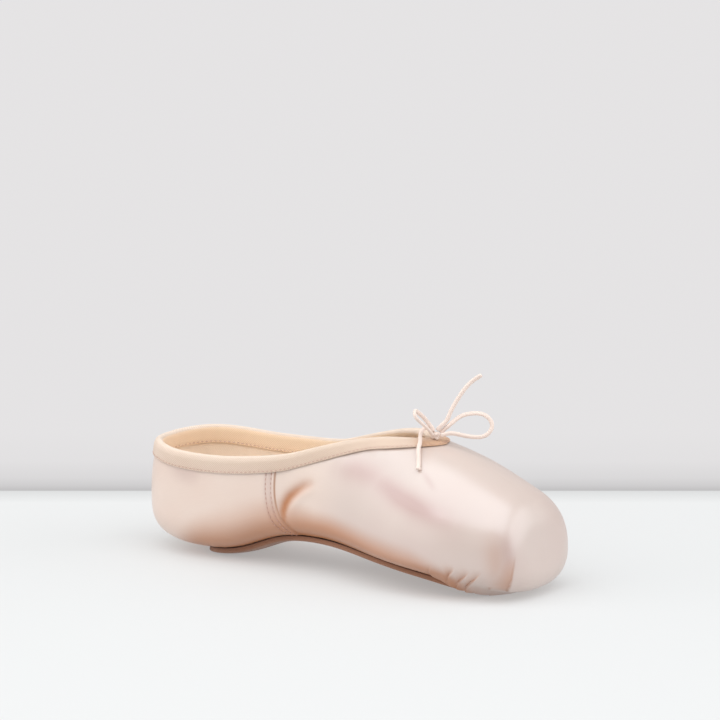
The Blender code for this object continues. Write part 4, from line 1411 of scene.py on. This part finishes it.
def stitch_row(name, lines, look, slot_name):
    """Stitches along one or more lines of (points, ways out of the surface)."""
    verts, edges, ways = [], [], []
    for points, out in lines:
        start = len(verts)
        verts += in_frame(points).tolist()
        ways += out.tolist()
        edges += [(start + k, start + k + 1) for k in range(len(points) - 1)]
    mesh = bpy.data.meshes.new(name + "_line")
    mesh.from_pydata(verts, edges, [])
    attribute = mesh.attributes.new("out", "FLOAT_VECTOR", "POINT")
    attribute.data.foreach_set("vector", np.array(ways, np.float32).reshape(-1))
    line = show(name + "_line", mesh)
    modifier = line.modifiers.new("stitches", "NODES")
    modifier.node_group = stitches
    sockets = {item.name: item.identifier for item in stitches.interface.items_tree if item.in_out == "INPUT"}
    for key, value in {"Pitch": STITCH_PITCH, "Long": STITCH, "Thread": THREAD, "Look": look}.items():
        modifier[sockets[key]] = value
    bpy.context.view_layer.update()
    made = bpy.data.meshes.new_from_object(line.evaluated_get(bpy.context.evaluated_depsgraph_get()))
    bpy.data.objects.remove(line)
    made.shade_smooth()
    made.name = name
    piece = show(name, made)
    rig.ride(piece, "root")
    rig.slot(piece, slot_name)


def seam_lines(grid, out, side):
    """Lines for the rows of stitches behind the quarter's edge, from the sole to the tape."""
    for row in SEAM_ROWS:
        column = int(np.argmin(np.abs(places[0] - row)))
        line, face = grid[column], out[column]
        keep = rim_distance(line[None])[0] > TAPE_OUTER + 0.5 * MM
        keep &= np.abs(line[:, 1]) > sole_half(line[:, 0], 0) + 1.0 * MM
        lift = LAP - 0.16 * MM + unevenness(line, side) + THREAD * 0.2
        points = line + face * lift[:, None]
        yield on_side(side, points[keep]), on_side(side, face[keep])


def tape_lines(grid, out, side):
    """Lines for the tape's stitches, one on its outer leaf and one on its inner."""
    to_rim = rim_distance(grid)
    edges = grid[:, -1, 0]
    outside = tape_depth(edges), lapped(places[0]) + GAP + TAPE * 0.72, 1
    inside = edges * 0 + TAPE_INNER, wall(edges) + GAP + TAPE * 0.66, -1
    for depth, offset, way in (outside, inside):
        points, faces = [], []
        for line, sides, distance, below, lift in zip(grid, out, to_rim, depth, offset):
            both = np.concatenate([line, sides], 1)
            at = np.array([np.interp(TAPE_ROW - below, -distance, part) for part in both.T])
            points.append(at[:3] + at[3:] * way * (lift + THREAD * 0.2))
            faces.append(at[3:] * way)
        yield on_side(side, np.array(points)), on_side(side, np.array(faces))


def make_stitching(look):
    for side in ("near", "far"):
        grid, out = cloth_grid(side, BASE_ROWS)
        stitch_row("seam_stitches_" + side, seam_lines(grid, out, side), look, "pink_satin")
        stitch_row("tape_stitches_" + side, tape_lines(grid, out, side), look, "cotton_binding")


def make_stage():
    """A pale floor that turns to a glowing backdrop behind the shoe. Its glow is painted light that lifts the floor's
    shadows, and it is painted darker as shade where floor meets backdrop.
    """
    look = Look("pale_floor", Roughness=0.75, Specular_IOR_Level=0.2, Emission_Strength=1.0)
    ahead = Vector((-np.sin(AZIMUTH), np.cos(AZIMUTH), 0))
    parts = look.make("ShaderNodeSeparateXYZ", None, {"Vector": look.place()})
    across = Value(look, parts.socket.node.outputs[1])
    share = look.between(parts * ahead.x + across * ahead.y, 0, BACKDROP_FAR)
    for socket, greys in (("Base Color", FLOOR_COLOURS), ("Emission Color", FLOOR_GLOW)):
        stops = []
        for place, grey in greys:
            tint = FLOOR_TINT if place < BACKDROP_EDGE else BACKDROP_TINT
            stops.append((place / BACKDROP_FAR, [part * grey for part in tint]))
        look.feed(socket, look.make("ShaderNodeValToRGB", {"stops": stops}, {"Fac": share}))
    mesh = bpy.data.meshes.new("floor")
    corners = [(x * FLOOR_SIZE, y * FLOOR_SIZE, 0) for x, y in ((-1, -1), (1, -1), (1, 1), (-1, 1))]
    mesh.from_pydata(corners, [], [(0, 1, 2, 3)])
    floor = show("floor", mesh)
    mesh.materials.append(look.material)
    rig.stage(floor)


def hang_light(light, place, aim):
    """The light at its place, facing a point."""
    lit = bpy.data.objects.new(light.name, light)
    bpy.context.scene.collection.objects.link(lit)
    lit.location = place
    lit.rotation_euler = (Vector(aim) - Vector(place)).to_track_quat("-Z", "Y").to_euler()
    return lit


def make_light():
    world = bpy.data.worlds.new("studio")
    bpy.context.scene.world = world
    world.use_nodes = True
    world.node_tree.nodes["Background"].inputs["Color"].default_value = (1.0, 1.0, 1.0, 1)
    world.node_tree.nodes["Background"].inputs["Strength"].default_value = WORLD_LIGHT
    for name, place, aim, size, power, colour in LAMPS:
        light = bpy.data.lights.new(name, "AREA")
        light.shape = "RECTANGLE"
        light.size, light.size_y = size
        light.energy, light.color = power, colour
        hang_light(light, place, aim)
    heel_fill()
    bpy.context.scene.view_settings.view_transform = "Standard"


def heel_fill():
    """A soft spot on the heel and into its opening. It doesn't light the floor."""
    spot = bpy.data.lights.new("heel_fill", "SPOT")
    spot.energy, spot.shadow_soft_size = 14.0, 0.20
    spot.spot_size, spot.spot_blend = np.radians(12), 1.0
    spot.color = (1, 0.97, 0.94)
    lit = hang_light(spot, (-0.35, -1.0, 0.75), (-0.080, 0, 0.035))
    shoe = bpy.data.collections.new("shoe")
    for piece in bpy.context.scene.objects:
        if piece.type == "MESH" and piece.name != "floor":
            shoe.objects.link(piece)
    lit.light_linking.receiver_collection = shoe


def make_camera():
    """Placed so that the target shows at its pixel of the photograph's frame."""
    level = np.cos(ELEVATION)
    forward = -Vector((np.sin(AZIMUTH) * level, -np.cos(AZIMUTH) * level, np.sin(ELEVATION)))
    right = forward.cross(Vector((0, 0, 1))).normalized()
    up = right.cross(forward)
    focal = PIXELS_PER_METRE * DISTANCE
    across, rise = TARGET_PIXEL[0] - FRAME_PIXELS / 2, FRAME_PIXELS / 2 - TARGET_PIXEL[1]
    target = TARGET + Vector((shift, 0, 0))
    eye = target - DISTANCE * (forward + right * (across / focal) + up * (rise / focal))
    camera = bpy.data.cameras.new("camera")
    camera.sensor_width = SENSOR
    camera.lens = focal / FRAME_PIXELS * SENSOR
    holder = bpy.data.objects.new("camera", camera)
    bpy.context.scene.collection.objects.link(holder)
    holder.matrix_world = Matrix.Translation(eye) @ Matrix((right, up, -forward)).transposed().to_4x4()
    bpy.context.scene.camera = holder


outlines = profiles(BASE_COLUMNS)
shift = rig.box("upper")[1].x - outlines[0][..., 0].max()
places = column_places()
outline = sole_outline("near")
stitches = stitches_tree()

make_camera()
cord_cotton = cord_look()
make_bow(cord_cotton)
make_satin(satin_look())
lining_cotton = twill_look("insole_lining", (1.0, 0.86, 0.72), (0.97, 0.79, 0.63), 600.0)
make_lining(lining_cotton)
tape_colours = (0.79, 0.65, 0.55), (0.66, 0.49, 0.385)
make_binding(twill_look("cotton_binding", *tape_colours, 360.0, inside=(0.97, 0.79, 0.60)))
make_outsole(suede_look())
make_insole(lining_cotton)
make_stitching(thread_look())
make_stage()
make_light()

with open("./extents.json", "w") as sizes:
    json.dump({"cad": cad_box, "visual": [list(corner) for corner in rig.bounds()]}, sizes)
